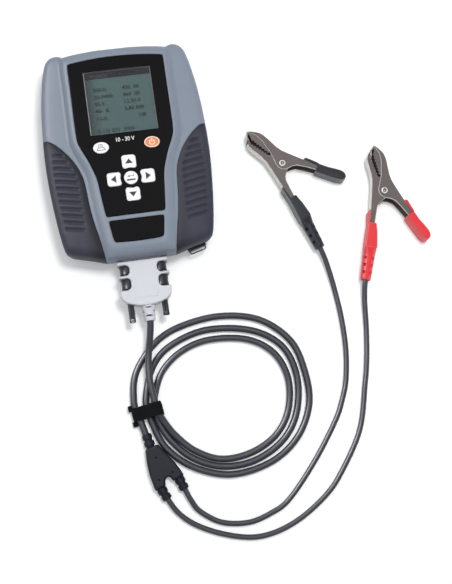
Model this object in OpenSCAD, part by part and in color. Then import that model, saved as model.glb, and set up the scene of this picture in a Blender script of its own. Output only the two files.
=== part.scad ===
// Handheld battery tester lying on its back, with its plug-in lead set:
// hood, main cord coiled under a tie, splitter, and two sprung clamps.
// +Y runs towards the display end, +Z out of the face, millimetres.

/* [Housing] */
// Width across the grips
body_w = 163; // [160:1:168]
// Length of the housing, socket end to display end
body_l = 217; // [214:1:220]
// Wall between the grips and the inside
wall = 3.4; // [2.8:0.1:4]

/* [Keypad] */
// Side of a square arrow key
key_size = 13.8; // [13:0.2:15.4]
// Clearance round each key
key_gap = 0.2; // [0.15:0.05:0.4]
// How far a key goes down
key_travel = 0.4; // [0.2:0.1:0.5]

/* [Plug] */
// Distance between the two thumbscrews, a 15-way D connector
screw_pitch = 33.3; // [33.1:0.1:33.5]
// Radial clearance of the thumbscrews in the hood
screw_gap = 0.08; // [0.05:0.01:0.1]

/* [Cords] */
// Diameter of the main cord
cord_d = 6.7; // [6.2:0.1:7]
// Diameter of the two clamp leads
lead_d = 5.3; // [4.8:0.1:5.6]

/* [Clamps] */
// Thickness of the clamp steel
steel_t = 0.9; // [0.7:0.1:1]
// Radial clearance of the rivet in the jaws
rivet_gap = 0.05; // [0.03:0.01:0.1]

/* [Show] */
// Node to draw

/* [Hidden] */
$fn = 40;

shell_blue = [0.55, 0.58, 0.65];
grip_grey = [0.25, 0.26, 0.3];
panel_black = [0.05, 0.05, 0.05];
hood_grey = [0.84, 0.84, 0.88];
cord_grey = [0.27, 0.27, 0.31];
steel = [0.5, 0.48, 0.47];
bright = [0.8, 0.8, 0.8];
black_vinyl = [0.2, 0.2, 0.22];
red_vinyl = [0.9, 0.25, 0.25];

// Heights through the housing
base_z = 1;
part_z = 22;
face_z = 46;
fascia_t = 1.2;
fascia_z = face_z - 0.1 - fascia_t;
roof_z = fascia_z - 1.5;
wing_z = face_z - 4.8;
board_z = face_z - 10;
board_t = 1.6;
lcd_top = fascia_z - 2.5;
post_top = board_z - 2.5;

sx = body_w / 163;
sy = body_l / 217;
end_y = -body_l / 2;
enter_y = -32;

// Housing outline, right half, display end first
outline = [
  [0, 108.5], [14, 108.2], [28, 107.7], [44, 107.2], [58, 106.8], [63, 106], [67, 103.4],
  [70, 99.5], [71.8, 95], [73.6, 88], [75.4, 79], [77.2, 68], [78.8, 55], [80, 41], [80.9, 25],
  [81.4, 10], [81.5, -5], [81, -21], [80, -36], [78.8, -50], [77.3, -64], [75.6, -77],
  [74, -87], [72.4, -93.5], [69.6, -97.2], [65, -99.4], [54, -102.4], [44, -105.3],
  [37, -107.5], [30, -108.5], [0, -108.5]
];
// Raised centre, at its top and at the foot of its slope
upper_top = [[0, 99], [16, 98.6], [32, 97.2], [46, 94.8], [49.6, 92], [49.6, 15], [48.6, 9], [45.6, 0],
  [41.5, -9], [36, -23]];
upper_foot = [[0, 106.5], [20, 106.2], [40, 104.5], [53, 102], [57, 96], [57, 14], [55.5, 5], [52, -5],
  [48.5, -14], [45, -24]];
lower_top = [[36, -22], [34, -34], [32.6, -46], [31.4, -58], [30.4, -68], [28.6, -82], [26, -98.5],
  [0, -99.5]];
lower_foot = [[45, -24], [44.2, -36], [43, -50], [41.4, -66], [39, -82], [35.5, -101], [33, -107.2],
  [0, -108]];
// Display and key panel
fascia_half = [[0, 95], [12, 94.8], [24, 94], [36, 92.8], [45.6, 91.3], [47.2, 90], [47.5, 88], [47.5, 60],
  [47.5, 26], [47.2, 14], [46.4, 8.4], [43.6, 1], [39.6, -8], [36.3, -17], [33.4, -26],
  [31.8, -35], [30.8, -46], [29.4, -59], [28.5, -66.4], [27.6, -68], [26, -68.3], [0, -68.3]];
plate_half = [[0, -73], [24.8, -73], [26.2, -74], [26.4, -75.4], [24, -92], [23, -93.6], [20, -94.3],
  [10, -95], [0, -95.2]];
// Soft grip, inner edge then far outside the housing
grip_half = [[79.6, 17.5], [76, 16.4], [72, 14], [68, 10.6], [64, 6.6], [60, 2], [56.4, -2.8], [53.4, -7.6],
  [50.6, -13], [48.2, -18.6], [46.4, -24.6], [45.2, -31], [44.6, -38], [43.8, -48], [42.6, -60],
  [40.6, -72.5], [38.4, -84], [36.6, -93], [33.6, -112], [92, -112], [92, 17.5]];

// Display: the posts stand beside its frame, then the board's edge and the room round it
lcd_y = 48.2;
lcd_w = 66.6;
frame_rim = 1.6;
post_r = 2.5;
post_gap = 0.6;
post_x = lcd_w / 2 + frame_rim + post_gap + post_r;
board_x = post_x + 4;
well_x = board_x + 3.6;
board_half = [[0, 86], [board_x / sx, 86], [board_x / sx, 12], [30, -22], [26, -60], [23, -86], [0, -86]];
well_half = [[0, 90], [well_x / sx, 88], [well_x / sx, 14], [41.6, -1], [33, -23], [29, -50], [26, -70],
  [23, -92], [0, -92]];
screw_spots = fit_case([[62, 88], [-62, 88], [58, -78], [-58, -78]]);
feet_spots = fit_case([[58, 66], [-58, 66], [52, -70], [-52, -70]]);
board_spots = [[post_x, 82 * sy], [-post_x, 82 * sy], [20 * sx, -76 * sy], [-20 * sx, -76 * sy]];
arrow_r = 16.4;
oval_spots = [[-25, 1.6], [25, 1.6]];

function full(h) = concat(h, [for (i = [len(h) - 1:-1:0]) if (h[i][0] > 0.01) [-h[i][0], h[i][1]]]);
function fit_case(h) = [for (p = h) [p[0] * sx, p[1] * sy]];
function drawn_in(h, d) = [for (p = h) [max(0, p[0] - (p[0] > 0.01 ? d : 0)), p[1] * (1 - d / 108.5)]];
function towards(p, c, k) = [for (q = p) [c[0] + (q[0] - c[0]) * k, c[1] + (q[1] - c[1]) * k]];
function oval(a, b) = [for (i = [0:35]) [a * cos(i * 10), b * sin(i * 10)]];

module plan(h, low, high) {
  translate([0, 0, low])
    linear_extrude(high - low)
      polygon(full(fit_case(h)));
}

// Softly domed block that both covers and the grips are cut from
module case_block() {
  hull() {
    plan(drawn_in(outline, 8.6), base_z, base_z + 0.1);
    plan(drawn_in(outline, 6.2), base_z + 1.2, base_z + 1.3);
    plan(drawn_in(outline, 4.4), base_z + 3, base_z + 3.1);
    plan(drawn_in(outline, 2.6), base_z + 6.5, base_z + 6.6);
    plan(drawn_in(outline, 1.3), base_z + 12, base_z + 12.1);
    plan(drawn_in(outline, 0.5), base_z + 18, base_z + 18.1);
    plan(outline, base_z + 23, wing_z - 11.2);
    plan(drawn_in(outline, 0.6), wing_z - 7.2, wing_z - 7.1);
    plan(drawn_in(outline, 2), wing_z - 4.2, wing_z - 4.1);
    plan(drawn_in(outline, 4.6), wing_z - 2, wing_z - 1.9);
    plan(drawn_in(outline, 9), wing_z - 0.7, wing_z - 0.6);
    plan(drawn_in(outline, 18), wing_z, wing_z + 0.1);
  }
}

module raised_centre() {
  hull() {
    plan(upper_top, face_z - 0.6, face_z);
    plan(drawn_in(upper_foot, 3), face_z - 3, face_z - 2.9);
    plan(upper_foot, face_z - 9, face_z - 7);
  }
  hull() {
    plan(lower_top, face_z - 0.6, face_z);
    plan(drawn_in(lower_foot, 2.5), face_z - 3, face_z - 2.9);
    plan(lower_foot, face_z - 12, face_z - 7);
  }
}

// Shallow dips beside the two ears at the display end
module ear_dips() {
  for (s = [-1, 1])
    translate([0, 0, -1])
      linear_extrude(60)
        polygon([for (p = [[16, 112], [16, 108.1], [26, 107], [36, 105.6], [44, 104.4], [48.4, 104],
          [51.6, 104.8], [55, 106.2], [58, 106.8], [58, 112]]) [s * p[0] * sx, p[1] * sy]]);
}

module grip_space(side) {
  translate([0, 0, 7])
    linear_extrude(50)
      polygon([for (p = fit_case(grip_half)) [side * p[0], p[1]]]);
}

module grip_core() {
  plan(drawn_in(outline, wall), 0, face_z - 11.5);
}

module grip_taken() {
  for (s = [-1, 1])
    difference() {
      grip_space(s);
      grip_core();
    }
}

module housing_room() {
  plan(drawn_in(outline, 2 * wall), base_z + 3, face_z - 13);
  plan(well_half, face_z - 16, roof_z);
}

module front_cover() {
  color(shell_blue) {
    difference() {
      intersection() {
        union() {
          case_block();
          raised_centre();
        }
        translate([-100, -120, part_z])
          cube([200, 240, 40]);
      }
      ear_dips();
      grip_taken();
      housing_room();
      plan(fascia_half, fascia_z, face_z + 14);
      plan(plate_half, face_z - 0.9, face_z + 14);
      translate([-lcd_w / 2 - 2, lcd_y - lcd_w / 2 - 2, roof_z - 3.2])
        cube([lcd_w + 4, lcd_w + 4, 10]);
      key_holes(0.5, roof_z - 3.2, face_z + 14);
      socket_hole();
    }
    for (p = screw_spots)
      translate([p[0], p[1], part_z])
        difference() {
          cylinder(r = 4, h = post_top - part_z);
          translate([0, 0, -1])
            cylinder(r = 1.6, h = post_top - part_z + 0.5);
        }
    for (p = board_spots)
      translate([p[0], p[1], board_z + board_t])
        cylinder(r = post_r, h = roof_z - board_z - board_t + 0.2);
  }
}

module rear_cover() {
  color(shell_blue)
    difference() {
      union() {
        difference() {
          intersection() {
            case_block();
            translate([-100, -120, 0])
              cube([200, 240, part_z]);
          }
          ear_dips();
          grip_taken();
          housing_room();
        }
        for (p = screw_spots)
          translate([p[0], p[1], base_z + 2.9])
            cylinder(r = 4.4, h = part_z - base_z - 2.9);
      }
      socket_hole();
      for (p = screw_spots)
        translate([p[0], p[1], 0]) {
          cylinder(r = 1.6, h = 40);
          cylinder(r = 3.6, h = 6);
        }
      for (p = feet_spots)
        translate([p[0], p[1], 0])
          cylinder(r = 7, h = 1.6);
    }
}

module rubber_feet() {
  color(grip_grey)
    for (p = feet_spots)
      translate([p[0], p[1], 0])
        cylinder(r = 6.9, h = 1.6);
}

module case_screws() {
  color(bright)
    for (p = screw_spots)
      translate([p[0], p[1], 3.2]) {
        difference() {
          cylinder(r = 3.1, h = 2.8);
          translate([-2, -0.5, -0.1])
            cube([4, 1, 1.3]);
          translate([-0.5, -2, -0.1])
            cube([1, 4, 1.3]);
        }
        translate([0, 0, 2.7])
          cylinder(r = 1.55, h = post_top - 9.5);
      }
}

// Overmoulded grip: cushion with twelve cross ribs and a pocket for a strap loop
rib_x = [66.5, 65, 63.6, 62, 61.6, 61.4, 61.2, 60.9, 60.6, 60.3, 60, 59.6];
rib_half = [5, 6.6, 8.4, 10.4, 11, 11, 11, 11, 11, 11, 10.8, 10.4];

module grip(side) {
  color(grip_grey)
    difference() {
      intersection() {
        union() {
          case_block();
          raised_centre();
        }
        grip_space(side);
      }
      grip_core();
      ear_dips();
      strap_place(side)
        strap_base();
      for (i = [0:11])
        translate([side * rib_x[i] * sx, (1 - 6.5 * i) * sy, wing_z + 1.4])
          rotate([0, side * 94, 0])
            translate([0, 0, -rib_half[i]])
              cylinder(r = 2.5, h = 2 * rib_half[i], $fn = 24);
    }
}

module left_grip() {
  grip(-1);
}

module right_grip() {
  grip(1);
}

module arrow_key_shape(g) {
  difference() {
    square([key_size + 2 * g, key_size + 2 * g], center = true);
    for (a = [0:90:270])
      rotate(a)
        translate([(key_size / 2 + g) - 2.8, (key_size / 2 + g) - 2.8])
          difference() {
            square([5, 5]);
            circle(r = 2.8);
          }
    translate([-arrow_r, 0])
      circle(r = 10.3 - g);
  }
}

module key_holes(g, low, high) {
  translate([0, enter_y, low])
    for (a = [0:90:270])
      rotate([0, 0, a])
        translate([arrow_r, 0, 0])
          linear_extrude(high - low)
            arrow_key_shape(g);
  translate([0, enter_y, low])
    cylinder(r = 6.75 + g, h = high - low);
  for (p = oval_spots)
    translate([p[0], p[1], low])
      linear_extrude(high - low)
        polygon(oval(7.7 + g, 5.8 + g));
}

module fascia() {
  color(panel_black)
    difference() {
      plan([for (p = fascia_half) [p[0], p[1]]], fascia_z, fascia_z + fascia_t);
      key_holes(key_gap, roof_z - 3.2, face_z + 14);
      translate([-lcd_w / 2, lcd_y - lcd_w / 2, roof_z - 3.2])
        cube([lcd_w, lcd_w, 10]);
    }
}

module name_plate() {
  color(panel_black)
    plan(plate_half, face_z - 0.9, face_z + 0.05);
}

module display_window() {
  color([0.7, 0.8, 0.8])
    translate([-lcd_w / 2 - 1.8, lcd_y - lcd_w / 2 - 1.8, fascia_z - 1])
      cube([lcd_w + 3.6, lcd_w + 3.6, 1]);
}

module display_frame() {
  color(bright)
    difference() {
      translate([-lcd_w / 2 - frame_rim, lcd_y - lcd_w / 2 - frame_rim, lcd_top])
        cube([lcd_w + 2 * frame_rim, lcd_w + 2 * frame_rim, fascia_z - 1 - lcd_top]);
      translate([-lcd_w / 2 + 0.6, lcd_y - lcd_w / 2 + 0.6, lcd_top - 0.2])
        cube([lcd_w - 1.2, lcd_w - 1.2, 4]);
    }
}

module lcd_panel() {
  color([0.36, 0.45, 0.44]) {
    translate([-lcd_w / 2 - frame_rim, lcd_y - lcd_w / 2 - frame_rim, board_z + board_t])
      cube([lcd_w + 2 * frame_rim, lcd_w + 2 * frame_rim, lcd_top - board_z - board_t]);
    translate([-lcd_w / 2 + 0.7, lcd_y - lcd_w / 2 + 0.7, lcd_top - 0.2])
      cube([lcd_w - 1.4, lcd_w - 1.4, 0.9]);
  }
}

module main_board() {
  color([0.1, 0.35, 0.2])
    difference() {
      union() {
        plan(board_half, board_z, board_z + board_t);
        translate([-28, 20, board_z - 3.9])
          cube([22, 22, 4]);
        translate([6, 10, board_z - 6.9])
          cube([12, 16, 7]);
        for (x = [-24, -12, 0, 12])
          translate([x, -50, board_z - 8])
            cylinder(r = 3.5, h = 8.1);
      }
      for (p = board_spots)
        translate([p[0], p[1], board_z - 10])
          cylinder(r = 1.2, h = 20);
    }
}

dome_z = board_z + board_t;
key_foot = dome_z + 2.4;

module key_mat() {
  color([0.8, 0.8, 0.78]) {
    translate([-25, enter_y - 25, dome_z])
      cube([50, 14, 0.8]);
    translate([-25, enter_y - 12, dome_z])
      cube([50, 52, 0.8]);
    translate([0, enter_y, dome_z])
      cylinder(r = 3, h = key_foot - 0.6 - dome_z);
    for (a = [0:90:270])
      translate([arrow_r * cos(a), enter_y + arrow_r * sin(a), dome_z])
        cylinder(r = 3.5, h = key_foot - 0.6 - dome_z);
    for (p = oval_spots)
      translate([p[0] * 0.9, p[1], dome_z])
        cylinder(r = 3.5, h = key_foot - 0.6 - dome_z);
  }
}

module arrow_key(a) {
  color([0.95, 0.95, 0.95])
    translate([0, enter_y, 0])
      rotate([0, 0, a])
        translate([arrow_r, 0, 0]) {
          translate([0, 0, key_foot + 1.2])
            linear_extrude(face_z + 0.5 - key_foot - 1.2)
              arrow_key_shape(0);
          translate([-5, -key_size / 2 - 0.8, key_foot + 1.2])
            cube([key_size / 2 + 5.8, key_size + 1.6, 1]);
          translate([0, 0, key_foot])
            cylinder(r = 3, h = 1.3);
        }
}

module key_right() {
  arrow_key(0);
}

module key_up() {
  arrow_key(90);
}

module key_left() {
  arrow_key(180);
}

module key_down() {
  arrow_key(270);
}

module key_enter() {
  color([0.95, 0.95, 0.95])
    translate([0, enter_y, key_foot]) {
      cylinder(r = 2.6, h = 1.3);
      translate([0, 0, 1.2])
        cylinder(r = 7.6, h = 1);
      translate([0, 0, 1.2])
        cylinder(r = 6.75, h = face_z + 0.5 - key_foot - 1.2);
    }
}

module oval_key(p, tone) {
  color(tone) {
    translate([p[0], p[1], key_foot + 1.2]) {
      linear_extrude(face_z + 0.5 - key_foot - 1.2)
        polygon(oval(7.7, 5.8));
      linear_extrude(1)
        polygon(oval(8.5, 6.6));
    }
    translate([p[0] * 0.9, p[1], key_foot])
      cylinder(r = 3, h = 1.3);
  }
}

module key_print() {
  oval_key(oval_spots[0], [0.95, 0.95, 0.95]);
}

module key_power() {
  oval_key(oval_spots[1], [0.94, 0.5, 0.28]);
}

// Socket end: opening, recessed connector, screw paths
plug_z = 20;
flange_y = end_y + 7.6;

module d_shape(w, h) {
  polygon([[-w / 2, h / 2], [w / 2, h / 2], [w / 2 - 1.2, -h / 2], [-w / 2 + 1.2, -h / 2]]);
}

module along_y(y, len) {
  translate([0, y + len, plug_z])
    rotate([90, 0, 0])
      linear_extrude(len)
        children();
}

module socket_hole() {
  along_y(end_y - 2, 14)
    square([28, 11.4], center = true);
  for (s = [-1, 1])
    translate([s * screw_pitch / 2, end_y - 2, plug_z])
      rotate([-90, 0, 0])
        cylinder(r = 2.2, h = 14);
  along_y(flange_y, 12)
    square([39.6, 12.9], center = true);
}

module socket() {
  color(bright)
    difference() {
      union() {
        along_y(flange_y, 1)
          square([39.2, 12.5], center = true);
        along_y(flange_y + 1, 8)
          square([26, 9.4], center = true);
      }
      for (s = [-1, 1])
        translate([s * screw_pitch / 2, flange_y - 1, plug_z])
          rotate([-90, 0, 0])
            cylinder(r = 1.55, h = 12);
    }
  color(panel_black)
    difference() {
      along_y(flange_y - 5.8, 5.8)
        d_shape(24, 7.6);
      for (i = [0:7])
        translate([-9.6 + i * 2.74, flange_y - 6, plug_z + 1.4])
          rotate([-90, 0, 0])
            cylinder(r = 0.55, h = 4);
      for (i = [0:6])
        translate([-8.2 + i * 2.74, flange_y - 6, plug_z - 1.4])
          rotate([-90, 0, 0])
            cylinder(r = 0.55, h = 4);
    }
}

module jack_nuts() {
  color(bright)
    for (s = [-1, 1])
      translate([s * screw_pitch / 2, flange_y + 1, plug_z])
        rotate([-90, 0, 0])
          difference() {
            cylinder(r = 2.8, h = 4.5, $fn = 6);
            translate([0, 0, -1])
              cylinder(r = 1.4 + screw_gap, h = 7);
          }
}

module plug_shell() {
  color(bright)
    difference() {
      union() {
        along_y(end_y - 0.8, 0.8)
          square([39.2, 12.5], center = true);
        along_y(end_y - 0.8, 6.3)
          d_shape(26.6, 9.6);
      }
      along_y(end_y - 2, 14)
        d_shape(24.5, 8.1);
      for (s = [-1, 1])
        translate([s * screw_pitch / 2, end_y - 3, plug_z])
          rotate([-90, 0, 0])
            cylinder(r = 1.4 + screw_gap, h = 6);
    }
}

// Two-part hood with four finger windows and a bare label field
hood_y = end_y - 0.8;
hood_half = [[24.6, 0], [25, -1], [25, -30], [24.8, -34], [23.7, -37.4], [21.6, -40.2], [18.6, -42.2],
  [14, -44], [9, -45.3], [4, -46], [0, -46.1]];
boot_y = hood_y - 46.15;
boot_l = 15;
head_y = hood_y - 41;
head_l = [19.6, 16.3];
barrel_r = 3.2;
knob_r = 7;
waist_r = 6.2;
knob_room = 0.3;
// Each window's lower end and length, counted from the hood's face
windows = [[-14.8, 10.4], [-29.2, 11.8]];

module hood_plan(low, high, k) {
  translate([0, hood_y, low])
    linear_extrude(high - low)
      polygon(towards(concat([[0, 0]], hood_half, [for (i = [len(hood_half) - 2:-1:0])
        [-hood_half[i][0], hood_half[i][1]]]), [0, -24], k));
}

module hood_room() {
  along_y(hood_y - 37, 38)
    square([23, 11], center = true);
  translate([0, hood_y - 49, plug_z])
    rotate([-90, 0, 0])
      cylinder(r = 4.4, h = 20);
  for (s = [-1, 1]) {
    translate([s * screw_pitch / 2, hood_y - 50, plug_z])
      rotate([-90, 0, 0])
        cylinder(r = barrel_r + screw_gap, h = 52);
    for (w = windows)
      translate([s * screw_pitch / 2, hood_y + w[0], plug_z])
        rotate([-90, 0, 0])
          cylinder(r = knob_r + knob_room, h = w[1]);
  }
}

// Finger windows, open at the side, where the screws' knobs show
module hood_windows() {
  for (side = [0, 1])
    mirror([side, 0, 0])
      for (w = windows)
        translate([13.5, hood_y + w[0], plug_z - 12])
          linear_extrude(24) {
            translate([2.4, 0])
              square([12, w[1]]);
            translate([0, 2.4])
              square([3, w[1] - 4.8]);
            for (y = [2.4, w[1] - 2.4])
              translate([2.4, y])
                circle(r = 2.4);
          }
}

module hood_upper() {
  color(hood_grey)
    difference() {
      union() {
        hood_plan(plug_z, plug_z + 7.2, 1);
        hood_plan(plug_z + 7.2, plug_z + 8.2, 0.96);
      }
      hood_room();
      hood_windows();
      translate([-11.8, hood_y - 39, plug_z + 7.8])
        cube([23.6, 37, 1]);
    }
}

module hood_lower() {
  color(hood_grey)
    difference() {
      union() {
        hood_plan(plug_z - 8.2, plug_z - 7.2, 0.93);
        hood_plan(plug_z - 7.2, plug_z, 1);
      }
      hood_room();
      hood_windows();
    }
}

module thumbscrew(s) {
  len_of_head = head_l[(s + 1) / 2];
  color([0.12, 0.12, 0.13])
    translate([s * screw_pitch / 2, 0, plug_z])
      rotate([90, 0, 0])
        difference() {
          union() {
            translate([0, 0, -hood_y])
              cylinder(r = barrel_r, h = 41.2);
            translate([0, 0, -hood_y - 10.6])
              cylinder(r = 1.4, h = 10.7);
            translate([0, 0, -head_y])
              cylinder(r = barrel_r, h = len_of_head);
            for (w = windows)
              translate([0, 0, -hood_y - w[0] - w[1] + knob_room]) {
                half_l = w[1] / 2 - knob_room;
                cylinder(r1 = knob_r, r2 = waist_r, h = half_l);
                translate([0, 0, half_l])
                  cylinder(r1 = waist_r, r2 = knob_r, h = half_l);
              }
          }
          for (a = [0:30:330])
            rotate([0, 0, a])
              translate([3.5, 0, -head_y - 1])
                cylinder(r = 0.55, h = len_of_head - 3, $fn = 16);
          translate([-4, -0.5, -head_y + len_of_head - 1.6])
            cube([8, 1, 4]);
        }
}

module thumbscrew_left() {
  thumbscrew(-1);
}

module thumbscrew_right() {
  thumbscrew(1);
}

module cable_boot() {
  color(hood_grey)
    translate([0, boot_y, plug_z])
      rotate([90, 0, 0])
        difference() {
          union() {
            translate([0, 0, -9])
              cylinder(r = 4.35, h = 9.1);
            cylinder(r1 = 7.1, r2 = 5.2, h = boot_l);
          }
          translate([0, 0, -12])
            cylinder(r = cord_d / 2, h = 30);
          for (slit = [[0, 0.9], [90, 5], [0, 9.2]])
            for (a = [slit[0], slit[0] + 180])
              rotate([0, 0, a])
                translate([-3.3, cord_d / 2 + 0.4, slit[1]])
                  cube([6.6, 6, 1.4]);
        }
}

// Wire loop for a hand strap, set into the pocket of the right grip
module strap_place(side) {
  translate([side * 56 * sx, -101.9 * sy, 13])
    rotate([0, 0, side * 15.5])
      children();
}

module strap_base() {
  translate([-9.5, -1.9, -3])
    cube([19, 4.1, 6]);
}

module strap_loop() {
  color(panel_black)
    strap_place(1) {
      strap_base();
      for (x = [-8, 8])
        translate([x, -4.2, 0])
          rotate([-90, 0, 0])
            cylinder(r = 1, h = 3);
      translate([-9, -4.2, 0])
        rotate([0, 90, 0])
          cylinder(r = 1, h = 18);
    }
}

// Cords: a round tube swept along hand-set points, smoothed between them
main_route = [
  [0, hood_y - 50.7, plug_z], [0, hood_y - 58.7, plug_z], [0, hood_y - 62.7, plug_z - 0.3],
  [-2, -184, 16.5], [-5, -197, 12.6], [-7, -209, 11.3],
  [-8, -227, 11.3], [-6, -246, 11.3], [-4, -257, 11], [0, -267, 8.6], [10, -283, 5.4], [27, -300, 3.6],
  [51, -311, 3.4], [80, -309, 3.4], [106, -296, 3.4], [122, -274, 3.4], [127, -243, 3.4],
  [117, -216, 3.4], [93, -199, 3.4], [57, -194, 3.4], [28, -201, 3.4], [6, -218, 3.4], [-5, -241, 4.4],
  [-6, -256, 4.6], [-4, -269, 3.6], [5, -287, 3.4], [23, -306, 3.4], [50, -318, 3.4], [82, -317, 3.4],
  [112, -302, 3.4], [130, -277, 3.4], [136, -242, 3.4], [126, -210, 3.4], [97, -190, 3.4],
  [53, -184, 3.4], [16, -195, 3.4], [-4, -214, 3.4], [-14, -243, 4.4], [-13, -256, 4.6], [-11, -268, 3.8],
  [-1, -293, 3.4], [23, -315, 3.4], [58, -327, 3.4], [97, -321, 3.4], [126, -302, 3.4], [143, -273, 3.4],
  [145, -242, 3.4], [136, -207, 3.4], [108, -181, 3.4], [69, -172, 3.4], [29, -177, 3.4], [2, -190, 3.4],
  [-20, -216, 3.4], [-26, -243, 4.4], [-24, -256, 4.6], [-21.5, -266, 4.8], [-19.1, -276, 5],
  [-17, -286, 5]
];
black_route = [
  [173.7, -100.6, 8.5], [179.5, -117.6, 8.5], [184, -134, 5.6], [188, -161, 2.8], [190, -192, 2.8],
  [189, -223, 2.8], [184, -252, 2.8], [177, -271, 2.8], [167, -290, 2.8], [141, -325, 2.8], [110, -358, 2.8],
  [89, -369, 2.8], [67, -374, 2.8], [42, -370, 2.8], [23, -357, 3.2], [15.6, -345, 4.6], [11.6, -334.6, 5],
  [8.4, -326, 5]
];
red_route = [
  [224.9, -139.3, 8.5], [219.4, -156.5, 8.5], [216, -176, 5], [213, -206, 2.8], [208, -236, 2.8],
  [202, -260, 2.8], [189, -303, 2.8], [163, -342, 2.8], [144, -361, 2.8], [117, -378, 2.8], [91, -387, 2.8],
  [67, -388, 2.8], [39, -380, 2.8], [16, -368, 2.8], [2, -355, 3.6], [-6, -341.2, 5], [-10.4, -332, 5]
];

function mid(a, b, c, d, t) = 0.5 * (2 * b + (c - a) * t + (2 * a - 5 * b + 4 * c - d) * t * t
  + (3 * b - a - 3 * c + d) * t * t * t);
function eased(p, n) = [for (i = [0:len(p) - 2]) for (k = [0:n - 1])
  mid(p[max(0, i - 1)], p[i], p[i + 1], p[min(len(p) - 1, i + 2)], k / n), p[len(p) - 1]];
function unit(v) = v / norm(v);
function heading(p, i) = unit(p[min(len(p) - 1, i + 1)] - p[max(0, i - 1)]);
function ring(c, h, r, n) = let (s = unit(cross(h, [0, 0, 1])), u = cross(s, h))
  [for (k = [0:n - 1]) c + r * (cos(360 * k / n) * s + sin(360 * k / n) * u)];

module tube(route, r, n, smooth) {
  p = eased(route, smooth);
  m = len(p);
  polyhedron(
    points = [for (i = [0:m - 1]) each ring(p[i], heading(p, i), r, n)],
    faces = concat(
      [[for (k = [0:n - 1]) k]],
      [for (i = [0:m - 2]) for (k = [0:n - 1])
        [i * n + k, (i + 1) * n + k, (i + 1) * n + (k + 1) % n, i * n + (k + 1) % n]],
      [[for (k = [n - 1:-1:0]) (m - 1) * n + k]]));
}

module main_cord() {
  color(cord_grey)
    tube(main_route, cord_d / 2, 8, 1);
}

module black_lead() {
  color(cord_grey)
    tube(black_route, lead_d / 2, 8, 1);
}

module red_lead() {
  color(cord_grey)
    tube(red_route, lead_d / 2, 8, 1);
}

// Hook-and-loop tie, closed round the four strands
module cord_tie() {
  color(panel_black)
    translate([-14.8, -256, 0])
      rotate([0, 0, 13.9]) {
        translate([0, 6.5, 0])
          rotate([90, 0, 0])
            linear_extrude(13)
              difference() {
                polygon([[-14.6, 0], [15.6, 0], [16, 8], [15.2, 14], [12.4, 16.4], [6, 16.4], [0, 12.8],
                  [-6, 9.8], [-12, 9.6], [-14.6, 7.6]]);
                polygon([[-13.2, 1.1], [14.2, 1.1], [14.6, 8], [13.9, 13.5], [11.8, 15.1], [6.4, 15.1],
                  [0.6, 11.6], [-5.6, 8.5], [-11.6, 8.3], [-13.2, 6.9]]);
              }
        translate([-17, 3.6, 4.6])
          cube([5, 6.4, 2.2]);
        translate([-16, -11.6, 3.4])
          cube([5.4, 5.6, 2]);
        translate([-0.6, -9.4, 0.2])
          cube([4, 3.2, 1]);
      }
}

// Splitter: flat Y moulding with three ringed reliefs
y_form = [[-20.8, -290.6], [-21.3, -297], [-21.4, -304], [-20.9, -311], [-20, -318], [-18.5, -324.6],
  [-16.4, -331.8], [-6.6, -328.2], [-6.2, -324.4], [-5.2, -321.8], [-3.2, -320.6], [-1, -321.2], [2, -325],
  [11.8, -321.2], [10.6, -317.4], [8.4, -313], [5.2, -307.4], [1, -301.4], [-4, -294.8], [-9, -288.2]];

module ringed_relief(p, a) {
  translate([p[0], p[1], 5.1])
    rotate([90, 0, a]) {
      translate([0, 0, -3])
        cylinder(r = 3.9, h = 15.6);
      translate([0, 0, 0.6])
        cylinder(r1 = 5.1, r2 = 4.9, h = 4.8);
      translate([0, 0, 7.4])
        cylinder(r1 = 4.9, r2 = 4.6, h = 4.6);
    }
}

module relief_bore(p, a, r) {
  translate([p[0], p[1], 5])
    rotate([90, 0, a])
      translate([0, 0, -0.5])
        cylinder(r = r, h = 20);
}

module splitter() {
  color(cord_grey)
    difference() {
      union() {
        linear_extrude(1.6)
          polygon(towards(y_form, [-7, -308], 0.93));
        translate([0, 0, 1.2])
          linear_extrude(7.8)
            polygon(y_form);
        translate([0, 0, 8.8])
          linear_extrude(1)
            polygon(towards(y_form, [-7, -308], 0.96));
        translate([0, 0, 9.6])
          linear_extrude(0.6)
            polygon(towards(y_form, [-7, -308], 0.9));
        ringed_relief([-15.9, -289.4], 191.7);
        ringed_relief([-11.3, -330], 25.6);
        ringed_relief([6.9, -322.6], 20.6);
      }
      relief_bore([-16.5, -286.5], 191.7, cord_d / 2);
      relief_bore([-10.4, -332], 25.6, lead_d / 2);
      relief_bore([8.4, -326], 20.6, lead_d / 2);
      for (p = [[-12, -300.6], [1.7, -316.4], [-12.1, -322]])
        translate([p[0], p[1], 9.2])
          cylinder(r = 0.8, h = 3);
    }
}

// Clamps, drawn with the rivet at the origin and the tip along +Y
black_at = [154.3, -26.5, 39.9];
red_at = [253.6, -68.4, 3.2];
low_z = 1.3;
high_z = 15.7;

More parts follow.
